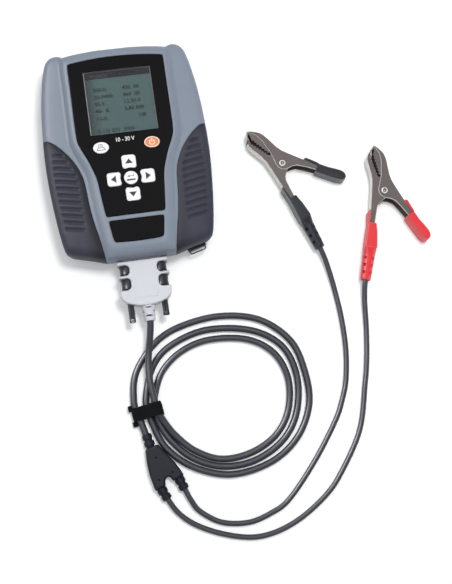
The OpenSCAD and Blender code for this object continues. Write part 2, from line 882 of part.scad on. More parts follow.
lever_outer = [[0, 48.9], [3.4, 46.2], [6, 42.6], [8.2, 39], [9.3, 35], [9.6, 30], [9.3, 22.5], [9.2, 15],
  [10, 9], [12.4, 1.5], [17.8, -13.5], [23.4, -27.5], [28.2, -38.5], [31.6, -46]];
lever_inner = [[27, -46], [22.4, -37.6], [18, -29.2], [13.4, -20.4], [8.7, -12.4], [4.4, -9.6], [0, -8],
  [-3, -6.3], [-5, -3.8], [-6, 0], [-5.6, 3], [-4.2, 6], [-1.6, 12], [0.4, 17], [1.8, 23], [3.4, 29],
  [4, 34], [3.8, 39.5]];
cord_outer = [[-1.2, 47.6], [-3.2, 45.4], [-5.5, 42.5], [-8.2, 39.6], [-9.6, 37], [-9.9, 33], [-9.5, 26],
  [-9.2, 20], [-9.6, 14], [-10.9, 8.5], [-14.2, -3], [-17.8, -15.5], [-22.2, -30.6],
  [-26.6, -41.5], [-30.4, -50]];
cord_inner = [[-21.8, -50], [-19.6, -42], [-17.3, -31.4], [-14.2, -23.2], [-10.5, -14.4], [-8, -11.8],
  [-5, -10], [-1, -8], [3, -5.6], [5, -2], [5.2, 2], [3.6, 6], [1, 10.4], [-1, 14.4]];

function bitten(p, q, n, d) = [for (i = [0:n - 1]) each [p + (q - p) * (i / n),
  p + (q - p) * ((i + 0.5) / n) + d * [-(q - p)[1], (q - p)[0]] / norm(q - p)]];
function shifted(p, dx) = [for (i = [len(p) - 1:-1:0]) [p[i][0] + dx, p[i][1] + (i == 0 ? -1.2 : 0)]];

module at_clamp(c) {
  translate([c[0], c[1], 0])
    rotate([0, 0, c[2]])
      children();
}

module both_sides(inset) {
  for (z = [low_z + inset, high_z - inset - steel_t])
    translate([0, 0, z])
      linear_extrude(steel_t)
        children();
}

module lever_jaw() {
  color(steel)
    difference() {
      union() {
        both_sides(0)
          polygon(concat(lever_outer, lever_inner));
        both_sides(steel_t)
          polygon(concat([[0, 48.9], [3.4, 46], [5.4, 39.5], [5.4, 33], [3.2, 23], [1.6, 16.4]],
            bitten([-0.8, 17], [-3.2, 40.6], 9, 0.8), [[-3.2, 40.6], [0.2, 45.4]]));
        translate([0, 0, low_z])
          linear_extrude(high_z - low_z)
            polygon(concat(lever_outer, shifted(lever_outer, -1.1)));
      }
      translate([0, 0, -1])
        cylinder(r = 1.6 + rivet_gap, h = 20);
    }
}

module cord_jaw() {
  color(steel)
    difference() {
      union() {
        both_sides(steel_t + 0.1)
          polygon(concat(cord_outer, cord_inner,
            bitten([-2.9, 17.6], [-5.6, 40], 9, -0.8), [[-4.4, 42.5], [-3, 45.4]]));
        translate([0, 0, low_z + steel_t + 0.1])
          linear_extrude(high_z - low_z - 2 * steel_t - 0.2)
            polygon(concat(cord_outer, shifted(cord_outer, 1.1)));
      }
      translate([0, 0, -1])
        cylinder(r = 1.6, h = 20);
    }
}

module rivet() {
  color(bright) {
    translate([0, 0, low_z - 0.95])
      cylinder(r = 1.6, h = high_z - low_z + 1.9);
    translate([0, 0, low_z - 0.95])
      cylinder(r1 = 2.4, r2 = 3.2, h = 0.9);
    translate([0, 0, high_z + 0.05])
      difference() {
        cylinder(r1 = 3.2, r2 = 2.4, h = 0.9);
        translate([0, 0, 0.3])
          cylinder(r = 1.2, h = 2);
      }
  }
}

module rod(p, q, r) {
  d = q - p;
  translate([p[0], p[1], p[2]])
    rotate([0, acos(d[2] / norm(d)), atan2(d[1], d[0])])
      cylinder(r = r, h = norm(d));
}

module jaw_spring() {
  color(bright) {
    for (i = [0:4])
      translate([0, 0, 5.7 + i * 1.4])
        rotate_extrude()
          translate([3.4, 0])
            circle(r = 0.75, $fn = 16);
    rod([3.3, -0.8, 5.7], [18.1, -19.1, 5.7], 0.7);
    rod([-3.3, -0.8, 11.3], [-17.2, -19.6, 11.3], 0.7);
  }
}

module lever_sleeve(tone) {
  color(tone)
    difference() {
      linear_extrude(17)
        polygon([[17.6, -13.4], [20.4, -13.2], [24.6, -26.3], [29, -36.8], [33, -44], [35.4, -49],
          [36.2, -53], [35, -56.4], [32, -58.2], [28.8, -57], [25.8, -52.6], [21.6, -43], [16.4, -30.6],
          [17.8, -29.4], [22.6, -27.9]]);
      translate([0, 0, low_z])
        linear_extrude(high_z - low_z)
          polygon(concat(lever_outer, lever_inner));
    }
}

module cord_sleeve(tone) {
  color(tone)
    difference() {
      union() {
        linear_extrude(17)
          polygon([[-18.3, -17], [-20.6, -17.6], [-23.9, -30.3], [-28.6, -42], [-33, -53.6], [-21.5, -57],
            [-20.3, -54], [-17.4, -42], [-15.9, -32], [-22, -30.4]]);
        translate([-26.7, -54, 8.5])
          rotate([90, 0, -21.2])
            cylinder(r1 = 6.1, r2 = 5.2, h = 34.4);
      }
      translate([0, 0, low_z])
        linear_extrude(high_z - low_z)
          polygon(concat(cord_outer, cord_inner));
      translate([-26.7, -54, 8.5])
        rotate([90, 0, -21.2]) {
          translate([0, 0, 14])
            cylinder(r = lead_d / 2, h = 30);
          for (row = [12, 19.6, 27.2])
            for (a = [45:90:315])
              rotate([0, 0, a])
                translate([3.6, -1.4, row - 1.6])
                  cube([4, 2.8, 3.2]);
        }
    }
}

module black_cord_jaw() {
  at_clamp(black_at) cord_jaw();
}

module black_lever_jaw() {
  at_clamp(black_at) lever_jaw();
}

module black_rivet() {
  at_clamp(black_at) rivet();
}

module black_spring() {
  at_clamp(black_at) jaw_spring();
}

module black_cord_sleeve() {
  at_clamp(black_at) cord_sleeve(black_vinyl);
}

module black_lever_sleeve() {
  at_clamp(black_at) lever_sleeve(black_vinyl);
}

module red_cord_jaw() {
  at_clamp(red_at) cord_jaw();
}

module red_lever_jaw() {
  at_clamp(red_at) lever_jaw();
}

module red_rivet() {
  at_clamp(red_at) rivet();
}

module red_spring() {
  at_clamp(red_at) jaw_spring();
}

module red_cord_sleeve() {
  at_clamp(red_at) cord_sleeve(red_vinyl);
}

module red_lever_sleeve() {
  at_clamp(red_at) lever_sleeve(red_vinyl);
}

front_cover();
rear_cover();
left_grip();
right_grip();
fascia();
name_plate();
display_window();
display_frame();
lcd_panel();
main_board();
key_mat();
key_up();
key_down();
key_left();
key_right();
key_enter();
key_print();
key_power();
case_screws();
rubber_feet();
socket();
jack_nuts();
strap_loop();
plug_shell();
hood_upper();
hood_lower();
thumbscrew_left();
thumbscrew_right();
cable_boot();
main_cord();
cord_tie();
splitter();
black_lead();
red_lead();
black_cord_jaw();
black_lever_jaw();
black_rivet();
black_spring();
black_cord_sleeve();
black_lever_sleeve();
red_cord_jaw();
red_lever_jaw();
red_rivet();
red_spring();
red_cord_sleeve();
red_lever_sleeve();
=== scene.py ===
# %% [markdown]
# # A battery tester and its lead set
# The tester lies on its back on a white table. Its connector hood is screwed to the socket end, and a
# main cord runs from there through three turns and a hook-and-loop tie to a splitter. Two thinner leads
# go on from the splitter to a black and a red clamp. The CAD model is loaded first, because it carries
# every solid and every joint, and each piece made here has to sit where its solid sits.

# %% Load the frame
import math
import bmesh
import bpy
import numpy as np
from mathutils import Matrix, Vector
from mathutils.geometry import delaunay_2d_cdt


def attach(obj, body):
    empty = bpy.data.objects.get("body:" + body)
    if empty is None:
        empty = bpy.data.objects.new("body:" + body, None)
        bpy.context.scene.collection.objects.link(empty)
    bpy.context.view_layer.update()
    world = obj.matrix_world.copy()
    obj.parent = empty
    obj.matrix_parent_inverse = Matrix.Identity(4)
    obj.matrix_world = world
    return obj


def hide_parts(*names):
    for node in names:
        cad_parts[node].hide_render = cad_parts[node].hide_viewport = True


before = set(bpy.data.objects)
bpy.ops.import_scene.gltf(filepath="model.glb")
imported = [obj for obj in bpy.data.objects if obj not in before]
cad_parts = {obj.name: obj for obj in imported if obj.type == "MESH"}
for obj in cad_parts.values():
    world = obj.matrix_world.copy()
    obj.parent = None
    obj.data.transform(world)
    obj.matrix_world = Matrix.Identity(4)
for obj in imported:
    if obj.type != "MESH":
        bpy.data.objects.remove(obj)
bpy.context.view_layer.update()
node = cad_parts

# %% [markdown]
# ## Camera
# The camera looks down steeply from the socket side, one metre above the table, and is rolled a little,
# so that the tester leans to the right. A long lens keeps the flat parts from stretching. The three
# axes below are the picture's right, down and forward directions in the frame. Building the camera's
# matrix from them is safer than three angles, because their order can't be mixed up.

# %% Place the camera
def linked(name, data):
    """A new object in the scene that holds the data."""
    made = bpy.data.objects.new(name, data)
    bpy.context.scene.collection.objects.link(made)
    return made


image_width, focal_length = 452, 1019.507  # both in pixels of the picture
sensor_mm = 36
eye = Vector((-0.016023, -0.335334, 1.000039))
to_right = Vector((0.98685, -0.14736, 0.06647)).normalized()
to_front = Vector((0.09328, 0.18327, -0.97863)).normalized()
to_down = to_front.cross(to_right).normalized()
to_right = to_down.cross(to_front).normalized()
lens = bpy.data.cameras.new("camera")
lens.sensor_fit = "HORIZONTAL"
lens.sensor_width = sensor_mm
lens.lens = sensor_mm * focal_length / image_width
lens.clip_start = 0.01
camera = linked("camera", lens)
camera.matrix_world = Matrix((to_right, -to_down, -to_front)).transposed().to_4x4()
camera.matrix_world.translation = eye
bpy.context.scene.camera = camera
print("lens", round(lens.lens, 2), "mm, looking along", [round(c, 3) for c in to_front])

# %% [markdown]
# ## Cords
# A cord is a fixed length of something flexible, so its route comes first and its skin second. Each
# route is a short list of points in metres, and a smooth curve is drawn through them. A curve object
# with a round bevel gives an even thickness on every bend, which a chain of cylinders doesn't.

# %% A smooth line through points
def flowing(points, steps, closed=False):
    """A smooth line through the points, with steps short pieces from each point to the next."""
    p = np.array(points, float)
    n = len(p)
    line = []
    for i in range(n if closed else n - 1):
        a, b, c, d = (p[k % n] if closed else p[min(max(k, 0), n - 1)] for k in range(i - 1, i + 3))
        for k in range(steps):
            t = k / steps
            line.append(0.5 * (2 * b + (c - a) * t + (2 * a - 5 * b + 4 * c - d) * t * t
                               + (3 * b - a - 3 * c + d) * t ** 3))
    if not closed:
        line.append(p[-1])
    return np.array(line)


def line_length(line):
    """How long a line of points is."""
    return float(np.linalg.norm(np.diff(line, axis=0), axis=1).sum())


print("a gentle bend over 10 cm measures",
      round(line_length(flowing([(0, 0), (.05, .01), (.1, 0)], 8)), 4), "m")

# %% The three routes
main_route = [
    (0, -.160, .020), (0, -.168, .020), (0, -.172, .0197), (-.002, -.184, .0165), (-.005, -.197, .0126),
    (-.007, -.209, .0113), (-.008, -.227, .0113), (-.006, -.246, .0113), (-.004, -.257, .011),
    (0, -.267, .0086), (.010, -.283, .0054), (.027, -.300, .0036), (.051, -.311, .0034),
    (.080, -.309, .0034), (.106, -.296, .0034), (.122, -.274, .0034), (.127, -.243, .0034),
    (.117, -.216, .0034), (.093, -.199, .0034), (.057, -.194, .0034), (.028, -.201, .0034),
    (.006, -.218, .0034), (-.005, -.241, .0044), (-.006, -.256, .0046), (-.004, -.269, .0036),
    (.005, -.287, .0034), (.023, -.306, .0034), (.050, -.318, .0034), (.082, -.317, .0034),
    (.112, -.302, .0034), (.130, -.277, .0034), (.136, -.242, .0034), (.126, -.210, .0034),
    (.097, -.190, .0034), (.053, -.184, .0034), (.016, -.195, .0034), (-.004, -.214, .0034),
    (-.014, -.243, .0044), (-.013, -.256, .0046), (-.011, -.268, .0038), (-.001, -.293, .0034),
    (.023, -.315, .0034), (.058, -.327, .0034), (.097, -.321, .0034), (.126, -.302, .0034),
    (.143, -.273, .0034), (.145, -.242, .0034), (.136, -.207, .0034), (.108, -.181, .0034),
    (.069, -.172, .0034), (.029, -.177, .0034), (.002, -.190, .0034), (-.020, -.216, .0034),
    (-.026, -.243, .0044), (-.024, -.256, .0046), (-.0215, -.266, .0048), (-.0191, -.276, .005),
    (-.017, -.286, .005)]
black_route = [
    (.1737, -.1006, .0085), (.1795, -.1176, .0085), (.184, -.134, .0056), (.188, -.161, .0028),
    (.190, -.192, .0028), (.189, -.223, .0028), (.184, -.252, .0028), (.177, -.271, .0028),
    (.167, -.290, .0028), (.141, -.325, .0028), (.110, -.358, .0028), (.089, -.369, .0028),
    (.067, -.374, .0028), (.042, -.370, .0028), (.023, -.357, .0032), (.0156, -.345, .0046),
    (.0116, -.3346, .005), (.0084, -.326, .005)]
red_route = [
    (.2249, -.1393, .0085), (.2194, -.1565, .0085), (.216, -.176, .005), (.213, -.206, .0028),
    (.208, -.236, .0028), (.202, -.260, .0028), (.189, -.303, .0028), (.163, -.342, .0028),
    (.144, -.361, .0028), (.117, -.378, .0028), (.091, -.387, .0028), (.067, -.388, .0028),
    (.039, -.380, .0028), (.016, -.368, .0028), (.002, -.355, .0036), (-.006, -.3412, .005),
    (-.0104, -.332, .005)]
cord_d, lead_d = 0.0067, 0.0053
print("route points:", len(main_route), len(black_route), len(red_route))


# %% Draw a cord
def draw_cord(name, route, diameter):
    """A cord along the route, and its length."""
    line = flowing(route, 8)
    curve = bpy.data.curves.new(name, "CURVE")
    curve.dimensions = "3D"
    curve.bevel_depth = 1  # multiplied by each point's radius
    curve.bevel_resolution = 7
    curve.use_fill_caps = True
    spline = curve.splines.new("POLY")
    spline.points.add(len(line) - 1)
    for point, place in zip(spline.points, line):
        point.co, point.radius = (*place, 1), diameter / 2
    spline.use_smooth = True
    made = linked(name, curve)
    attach(made, "tester")
    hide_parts(name.replace("_skin", ""))
    print(name, "is", round(line_length(line), 3), "m long")
    return made, line_length(line)


main_cord, main_len = draw_cord("main_cord_skin", main_route, cord_d)
black_lead, black_len = draw_cord("black_lead_skin", black_route, lead_d)
red_lead, red_len = draw_cord("red_lead_skin", red_route, lead_d)

# %% [markdown]
# ## Helpers for solid pieces
# Most pieces of this product are moulded or stamped from a flat outline, so one helper serves them: a
# closed outline is drawn in step by step while the height rises, which gives the rounded edge of a
# moulding, and the last outline is filled. Millimetres are handier than metres for such work, so the
# outlines are in millimetres and each mesh is scaled as it is made.

# %% Outlines
MM = 0.001


def both_halves(half):
    """A closed outline, counterclockwise, from its right half given from the display end down."""
    left = [(-x, y) for x, y in half if x > 0.01]
    return np.array(left + [(x, y) for x, y in reversed(half)], float)


def side_normals(loop):
    """A direction to the left of the outline at each point, longer in corners so that walls stay even."""
    before = loop - np.roll(loop, 1, 0)
    after = np.roll(loop, -1, 0) - loop
    turn = [np.stack((-v[:, 1], v[:, 0]), 1) / np.maximum(np.linalg.norm(v, axis=1), 1e-9)[:, None]
            for v in (before, after)]
    n = turn[0] + turn[1]
    n /= np.maximum(np.linalg.norm(n, axis=1), 1e-9)[:, None]
    stretch = np.clip((n * turn[0]).sum(1), 0.6, 1)
    return n / stretch[:, None]


def drawn_in(loop, d):
    """The counterclockwise outline, moved inwards by d."""
    return loop + side_normals(loop) * d


def ccw(loop):
    """The outline with its points in counterclockwise order."""
    loop = np.array(loop, float)
    x, y = loop[:, 0], loop[:, 1]
    area = (x * np.roll(y, -1) - np.roll(x, -1) * y).sum()
    return loop if area > 0 else loop[::-1]


square = np.array([(0, 0), (10, 0), (10, 10), (0, 10)], float)
print("a 10 mm square drawn in by 1 mm:", drawn_in(square, 1).tolist())


# %% Inside and distance
def inside(p, loop):
    """Which of the points p lie inside the loop, by counting crossings."""
    a, b = loop, np.roll(loop, -1, 0)
    hit = np.zeros(len(p), bool)
    for (x1, y1), (x2, y2) in zip(a, b):
        if y1 == y2:
            continue
        crosses = (y1 > p[:, 1]) != (y2 > p[:, 1])
        hit ^= crosses & (p[:, 0] < (x2 - x1) * (p[:, 1] - y1) / (y2 - y1) + x1)
    return hit


def distance(p, line, closed=True):
    """How far each point of p is from the line."""
    a = line if closed else line[:-1]
    b = np.roll(line, -1, 0) if closed else line[1:]
    best = np.full(len(p), 1e9)
    for s, e in zip(a, b):
        run = e - s
        t = np.clip(((p - s) @ run) / max(run @ run, 1e-12), 0, 1)
        best = np.minimum(best, np.hypot(*(p - s - t[:, None] * run).T))
    return best


middle_and_out = np.array([(5.0, 5.0), (12.0, 5.0)])
print("inside the square:", inside(middle_and_out, square), "from it:", distance(middle_and_out, square))


# %% Turns, arcs and boxes
def spun(points, turn):
    """Flat points turned about the origin by turn degrees."""
    c, s = math.cos(math.radians(turn)), math.sin(math.radians(turn))
    return np.array(points, float) @ np.array([(c, s), (-s, c)])


def placed(shape, x, y, turn, z=0.0):
    """The points and faces, turned about the upright axis by turn degrees, then moved to x, y and z."""
    points = np.array(shape[0], float)
    return np.column_stack((spun(points[:, :2], turn) + (x, y), points[:, 2] + z)), shape[1]


def round_loop(rx, ry=None, n=48, at=(0, 0)):
    """A circle, or an oval with two half sizes, of n points."""
    a = np.linspace(0, 2 * math.pi, n, endpoint=False)
    return np.column_stack((at[0] + rx * np.cos(a), at[1] + (ry or rx) * np.sin(a)))


def arc(cx, cy, r, a1, a2, n=5):
    """Points at r from the middle cx, cy, from the angle a1 to a2 in degrees."""
    return [(cx + r * math.cos(a), cy + r * math.sin(a)) for a in np.radians(np.linspace(a1, a2, n))]


def soft_box(x1, x2, y1, y2, r=1.0, n=6):
    """A box whose corners are rounded with the radius r."""
    corners = ((x2 - r, y2 - r), (x1 + r, y2 - r), (x1 + r, y1 + r), (x2 - r, y1 + r))
    points = [p for k, (cx, cy) in enumerate(corners) for p in arc(cx, cy, r, 90 * k, 90 * k + 90, n)]
    return np.array(points)


print("a box with round corners has", len(soft_box(0, 10, 0, 10)), "points")


# %% From points to a piece
def new_piece(name, points, faces, body="tester", slot=None, stands_for=(), crease=38):
    """A mesh piece from points in millimetres. Edges sharper than crease degrees stay sharp."""
    mesh = bpy.data.meshes.new(name)
    mesh.from_pydata([tuple(c * MM for c in p) for p in points], [], [tuple(f) for f in faces])
    soft = bmesh.new()
    soft.from_mesh(mesh)
    bmesh.ops.remove_doubles(soft, verts=soft.verts, dist=2e-7)
    bmesh.ops.dissolve_degenerate(soft, edges=soft.edges, dist=1e-8)
    bmesh.ops.recalc_face_normals(soft, faces=soft.faces)
    soft.to_mesh(mesh)
    soft.free()
    mesh.polygons.foreach_set("use_smooth", [True] * len(mesh.polygons))
    mesh.set_sharp_from_angle(angle=math.radians(crease))
    made = linked(name, mesh)
    flat = made.modifiers.new("flat_faces", "WEIGHTED_NORMAL")
    flat.keep_sharp = True
    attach(made, body)
    if stands_for:
        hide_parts(*stands_for)
    return made


print("a piece's points are multiplied by", MM)


# %% Fill an outline
def edges_along(lines, closed, start=0):
    """Edges along lines whose points are numbered on from start, and the next free number."""
    edges = []
    for line in lines:
        n = len(line)
        edges += [(start + i, start + (i + 1) % n) for i in range(n if closed else n - 1)]
        start += n
    return edges, start


def filled(loops):
    """Triangles that fill the first loop and leave the others open."""
    points = [Vector((p[0], p[1])) for loop in loops for p in loop]
    edges, _ = edges_along(loops, closed=True)
    flat, _, faces, *_ = delaunay_2d_cdt(points, edges, [], 0, 1e-7)
    flat = np.array([(v.x, v.y) for v in flat])
    faces = np.array([f for f in faces if len(f) == 3])
    middle = flat[faces].mean(1)
    keep = inside(middle, np.array(loops[0]))
    for hole in loops[1:]:
        keep &= ~inside(middle, np.array(hole))
    return flat, faces[keep]


print("triangles that fill a square:", len(filled([square])[1]))


# %% Skins over rings
def between_rings(n, first, second):
    """Faces between two rings of n points, whose points are numbered on from first and second."""
    return [(first + i, first + (i + 1) % n, second + (i + 1) % n, second + i) for i in range(n)]


def stacked(rings, closed=True):
    """Points and faces of a skin over rings of equally many points, with an end face at either end."""
    n, last = len(rings[0]), len(rings) - 1
    points = [p for ring in rings for p in ring]
    faces = [face for i in range(last) for face in between_rings(n, i * n, (i + 1) * n)]
    if closed:
        faces += [tuple(range(n)), tuple(range(last * n, (last + 1) * n))]
    return points, faces


def joined(*parts):
    """One list of points and one of faces from several."""
    points, faces = [], []
    for p, f in parts:
        start = len(points)
        points.extend(p)
        faces.extend(tuple(start + i for i in face) for face in f)
    return points, faces


def turned(profile, around=48, at=(0, 0, 0), axis="z", ripple=None):
    """A turned solid from (radius, height) pairs, along z or -y. ripple may change the radius."""
    rings = []
    for r, h in profile:
        ring = []
        for k in range(around):
            a = 2 * math.pi * k / around
            q = max(0.001, r if ripple is None else ripple(a, r, h))
            c, s = q * math.cos(a), q * math.sin(a)
            spot = (c, s, h) if axis == "z" else (c, -h, s)
            ring.append((spot[0] + at[0], spot[1] + at[1], spot[2] + at[2]))
        rings.append(ring)
    return stacked(rings)


print("a turned pin of 12 sides has", len(turned([(1, 0), (1, 5)], 12)[1]), "faces")


# %% Slabs
def slab(outer, low, high, top_round=0.4, low_round=0.0, holes=(), hole_round=0.0, steps=4):
    """Points and faces of a flat moulding from low to high, with rounded edges."""
    parts, lows, highs = [], [], []
    quarter = [math.pi / 2 * k / steps for k in range(steps + 1)]
    walls = [(ccw(outer), top_round, low_round)] + [(ccw(hole)[::-1], hole_round, 0.0) for hole in holes]
    for loop, high_r, low_r in walls:
        levels = [(0.0, low)]
        if low_r:
            levels = [(low_r * (1 - math.sin(a)), low + low_r * (1 - math.cos(a))) for a in quarter]
        if high_r:
            levels += [(high_r * (1 - math.cos(a)), high - high_r + high_r * math.sin(a)) for a in quarter]
        else:
            levels.append((0.0, high))
        rows = [np.column_stack((drawn_in(loop, d), np.full(len(loop), z))) for d, z in levels]
        parts.append(stacked(rows, closed=False))
        lows.append(rows[0][:, :2])
        highs.append(rows[-1][:, :2])
    for z, loops in ((high, highs), (low, lows)):
        flat, tris = filled(loops)
        parts.append((np.column_stack((flat, np.full(len(flat), z))), tris))
    return joined(*parts)


print("faces of a slab over the square:", len(slab(square, 0, 5)[1]))

# %% [markdown]
# ## Finishes
# Moulded plastic is never one flat colour: it is a little blotchy over centimetres and has a fine grain
# under a millimetre. One function makes such a finish from noise in the object's own coordinates, so the
# grain stays fixed to the piece when it moves. Colours are written as they look, then made linear.

# %% Colours and nodes
def as_seen(r, g, b):
    """A colour as it looks, 0 to 255, made linear."""
    return tuple((c / 255 / 12.92) if c / 255 <= 0.04045 else ((c / 255 + 0.055) / 1.055) ** 2.4
                 for c in (r, g, b)) + (1.0,)


MIX_SHARE, MIX_FIRST, MIX_SECOND, MIX_OUT = 0, 6, 7, 2  # a Mix node's sockets when it mixes colours


def feed(tree, made, inputs):
    """Gives each input of a node its value, or a link where another node's output is given."""
    for socket, value in inputs.items():
        if isinstance(value, bpy.types.NodeSocket):
            tree.links.new(value, made.inputs[socket])
        else:
            made.inputs[socket].default_value = value
    return made


def add_node(tree, kind, inputs):
    """A new node whose inputs are fed."""
    return feed(tree, tree.nodes.new("ShaderNode" + kind), inputs)


def mixed(tree, share, first, second):
    """The output of a node that mixes two colours."""
    mix = tree.nodes.new("ShaderNodeMix")
    mix.data_type = "RGBA"
    feed(tree, mix, {MIX_SHARE: share, MIX_FIRST: first, MIX_SECOND: second})
    return mix.outputs[MIX_OUT]


def empty_material(name):
    """A new material and its node tree, with no node in it."""
    made = bpy.data.materials.new(name)
    made.use_nodes = True
    made.node_tree.nodes.clear()
    return made, made.node_tree


print("mid grey as light:", round(as_seen(128, 128, 128)[0], 3))


# %% A moulded finish
def finish(name, seen, rough, mottle=0.05, mottle_scale=45, grain=0.0, grain_scale=2600, spread=0.05,
           shine=0.5, metal=0.0):
    """A finish of the colour seen. mottle and spread vary its colour and roughness, grain roughens it."""
    made, tree = empty_material(name)
    place = tree.nodes.new("ShaderNodeTexCoord").outputs["Object"]

    def noise(scale, detail=2):
        return add_node(tree, "TexNoise", {"Scale": scale, "Detail": detail, "Vector": place}).outputs["Fac"]

    base = as_seen(*seen)
    darker = tuple(c * (1 - mottle) for c in base[:3]) + (1,)
    lighter = tuple(min(1, c * (1 + mottle)) for c in base[:3]) + (1,)
    colour = mixed(tree, noise(mottle_scale, 3), darker, lighter)
    span = add_node(tree, "MapRange", {
        "Value": noise(mottle_scale * 4.3), "To Min": max(0.02, rough - spread),
        "To Max": min(1, rough + spread)})
    skin = add_node(tree, "BsdfPrincipled", {
        "Base Color": colour, "Roughness": span.outputs["Result"], "Specular IOR Level": shine,
        "Metallic": metal})
    if grain:
        bump = add_node(tree, "Bump", {"Strength": grain, "Distance": 0.0001, "Height": noise(grain_scale)})
        feed(tree, skin, {"Normal": bump.outputs["Normal"]})
    add_node(tree, "OutputMaterial", {"Surface": skin.outputs[0]})
    return made


def shaded_by(made, attribute, seen):
    """Lets a number stored on the mesh, 0 to 1, pull the finish towards a second, darker colour: painted
    shade.
    """
    tree = made.node_tree
    skin = next(n for n in tree.nodes if n.type == "BSDF_PRINCIPLED")
    before = skin.inputs["Base Color"].links[0].from_socket
    number = tree.nodes.new("ShaderNodeAttribute")
    number.attribute_name = attribute
    feed(tree, skin, {"Base Color": mixed(tree, number.outputs["Fac"], before, as_seen(*seen))})


bright_metal = finish("bright_metal", (176, 174, 170), 0.34, 0.05, 80, grain=0.1, metal=0.8)
print("nodes in a finish with grain:", len(bright_metal.node_tree.nodes))


# %% Dress a piece
def store(made, attribute, values):
    """Stores one number per point on the mesh."""
    held = made.data.attributes.new(attribute, "FLOAT", "POINT")
    held.data.foreach_set("value", np.asarray(values, np.float32))


def dress(made, *finishes):
    """Gives a piece its finishes."""
    made.data.materials.clear()
    for one in finishes:
        made.data.materials.append(one)
    return made


def skin_of(name, shape, slot, *finishes, body="tester", crease=50):
    """A dressed piece that stands for the CAD solid of that name."""
    return dress(new_piece(name + "_skin", *shape, body=body, slot=slot, stands_for=[name], crease=crease),
                 *finishes)


metal_nodes = ["display_frame", "jack_nuts", "socket", "case_screws", "plug_shell", "black_spring",
               "red_spring"]
for name in metal_nodes:
    dress(node[name], bright_metal)
print("solids dressed in bright metal:", len(metal_nodes))


# %% Plastics, rubbers and metals
shell_blue = finish("shell_blue", (132, 141, 154), 0.48, 0.03, grain=0.35, shine=0.3)
grip_rubber = finish("grip_rubber", (59, 60, 72), 0.6, 0.05, grain=0.5, grain_scale=1800, shine=0.3)
# The grips' finish darkens with the number band stored on them: painted shade along the seam and in the
# grooves.
shaded_by(grip_rubber, "band", (24, 24, 31))
panel_gloss = finish("panel_gloss", (7, 7, 9), 0.22, 0.1, 30, grain=0.04, grain_scale=900, spread=0.04,
                     shine=0.1)
hood_grey = finish("hood_grey", (211, 213, 218), 0.45, 0.02, grain=0.3)
key_white = finish("key_white", (247, 244, 246), 0.35, 0.015, grain=0.1)
key_orange = finish("key_orange", (239, 132, 78), 0.35, 0.03, grain=0.1)
ink_dark = finish("ink_dark", (30, 36, 48), 0.5, 0.1)
ink_white = finish("ink_white", (240, 238, 236), 0.5, 0.02)
cord_jacket = finish("cord_jacket", (43, 43, 53), 0.36, 0.06, 60, grain=0.2, grain_scale=1500, shine=0.95)
moulding = finish("moulding", (26, 27, 37), 0.42, 0.08, 80, grain=0.4, grain_scale=1600, shine=0.32)
screw_black = finish("screw_black", (34, 34, 42), 0.36, 0.1, grain=0.2, shine=0.6)
black_vinyl = finish("black_vinyl", (38, 39, 46), 0.34, 0.08, 70, grain=0.2, grain_scale=900, shine=0.35)
red_vinyl = finish("red_vinyl", (226, 54, 60), 0.36, 0.05, 70, grain=0.2, grain_scale=900, shine=0.35)
steel = finish("steel", (106, 98, 96), 0.5, 0.08, 90, grain=0.3, grain_scale=1400, metal=0.3)
steel_shade = finish("steel_shade", (34, 30, 28), 0.7, 0.1)
edge_highlight = finish("edge_highlight", (236, 232, 225), 0.35, 0.05, 90, grain=0.2, metal=0.2)
board_green = finish("board_green", (30, 92, 58), 0.4, 0.1, 120)
silicone = finish("silicone", (200, 198, 190), 0.6, 0.03)
lcd_grey = finish("lcd_grey", (80, 99, 99), 0.5, 0.05, 25, shine=0.2)
loop_black = finish("loop_black", (44, 44, 50), 0.35, 0.1, grain=0.2)
pile_black = finish("pile_black", (16, 16, 18), 0.9, 0.5, 500, grain=1.0, grain_scale=1500, shine=0.15)
for made in (main_cord, black_lead, red_lead):
    dress(made, cord_jacket)
for name, one in (("main_board", board_green), ("key_mat", silicone), ("lcd_panel", lcd_grey),
                  ("rubber_feet", grip_rubber)):
    dress(node[name], one)
print("finishes:", len(bpy.data.materials))

# %% [markdown]
# ## Housing
# The housing is two covers with soft grips moulded over the waist. Its face is one flowing surface: a
# domed wing all round and a raised centre that slopes down to it. Modelling that surface as a height
# over the plan keeps the cover and both grips flush along their seam, and the grooves are only small
# changes of the height. The plan is cut into triangles along every seam, so that the seams stay crisp.

# %% Plans of the housing
case_half = [
    (0, 108.5), (14, 108.2), (20, 107.7), (26, 107), (36, 105.7), (44, 104.5), (48.4, 104.1), (51.6, 104.7),
    (55, 106), (58, 106.6), (63, 105.8), (67, 103.4), (70, 99.5), (71.8, 95), (73.6, 88), (75.4, 79),
    (77.2, 68), (78.8, 55), (80, 41), (80.9, 25), (81.4, 10), (81.5, -5), (81, -21), (80, -36),
    (78.8, -50), (77.3, -64), (75.6, -77), (74, -87), (72.4, -93.5), (69.6, -97.2), (65, -99.4),
    (54, -102.4), (44, -105.3), (37, -107.5), (30, -108.4), (15, -108.5), (0, -108.5)]
top_half = [
    (0, 99), (16, 98.6), (32, 97.2), (46, 94.8), (49.6, 90), (49.6, 55), (49.6, 15), (48.6, 9), (45.6, 0),
    (41.5, -9), (36.6, -21), (34, -34), (32.6, -46), (31.4, -58), (30.4, -68), (28.6, -82), (26, -98.2),
    (13, -99.5), (0, -99.5)]
foot_half = [
    (0, 106.5), (20, 106.2), (40, 104.5), (53, 102), (57, 96), (57, 55), (57, 14), (55.5, 5), (52, -5),
    (48.5, -14), (45, -24), (44.2, -36), (43, -50), (41.4, -66), (39, -82), (35.5, -101), (33, -107.2),
    (16, -108), (0, -108)]
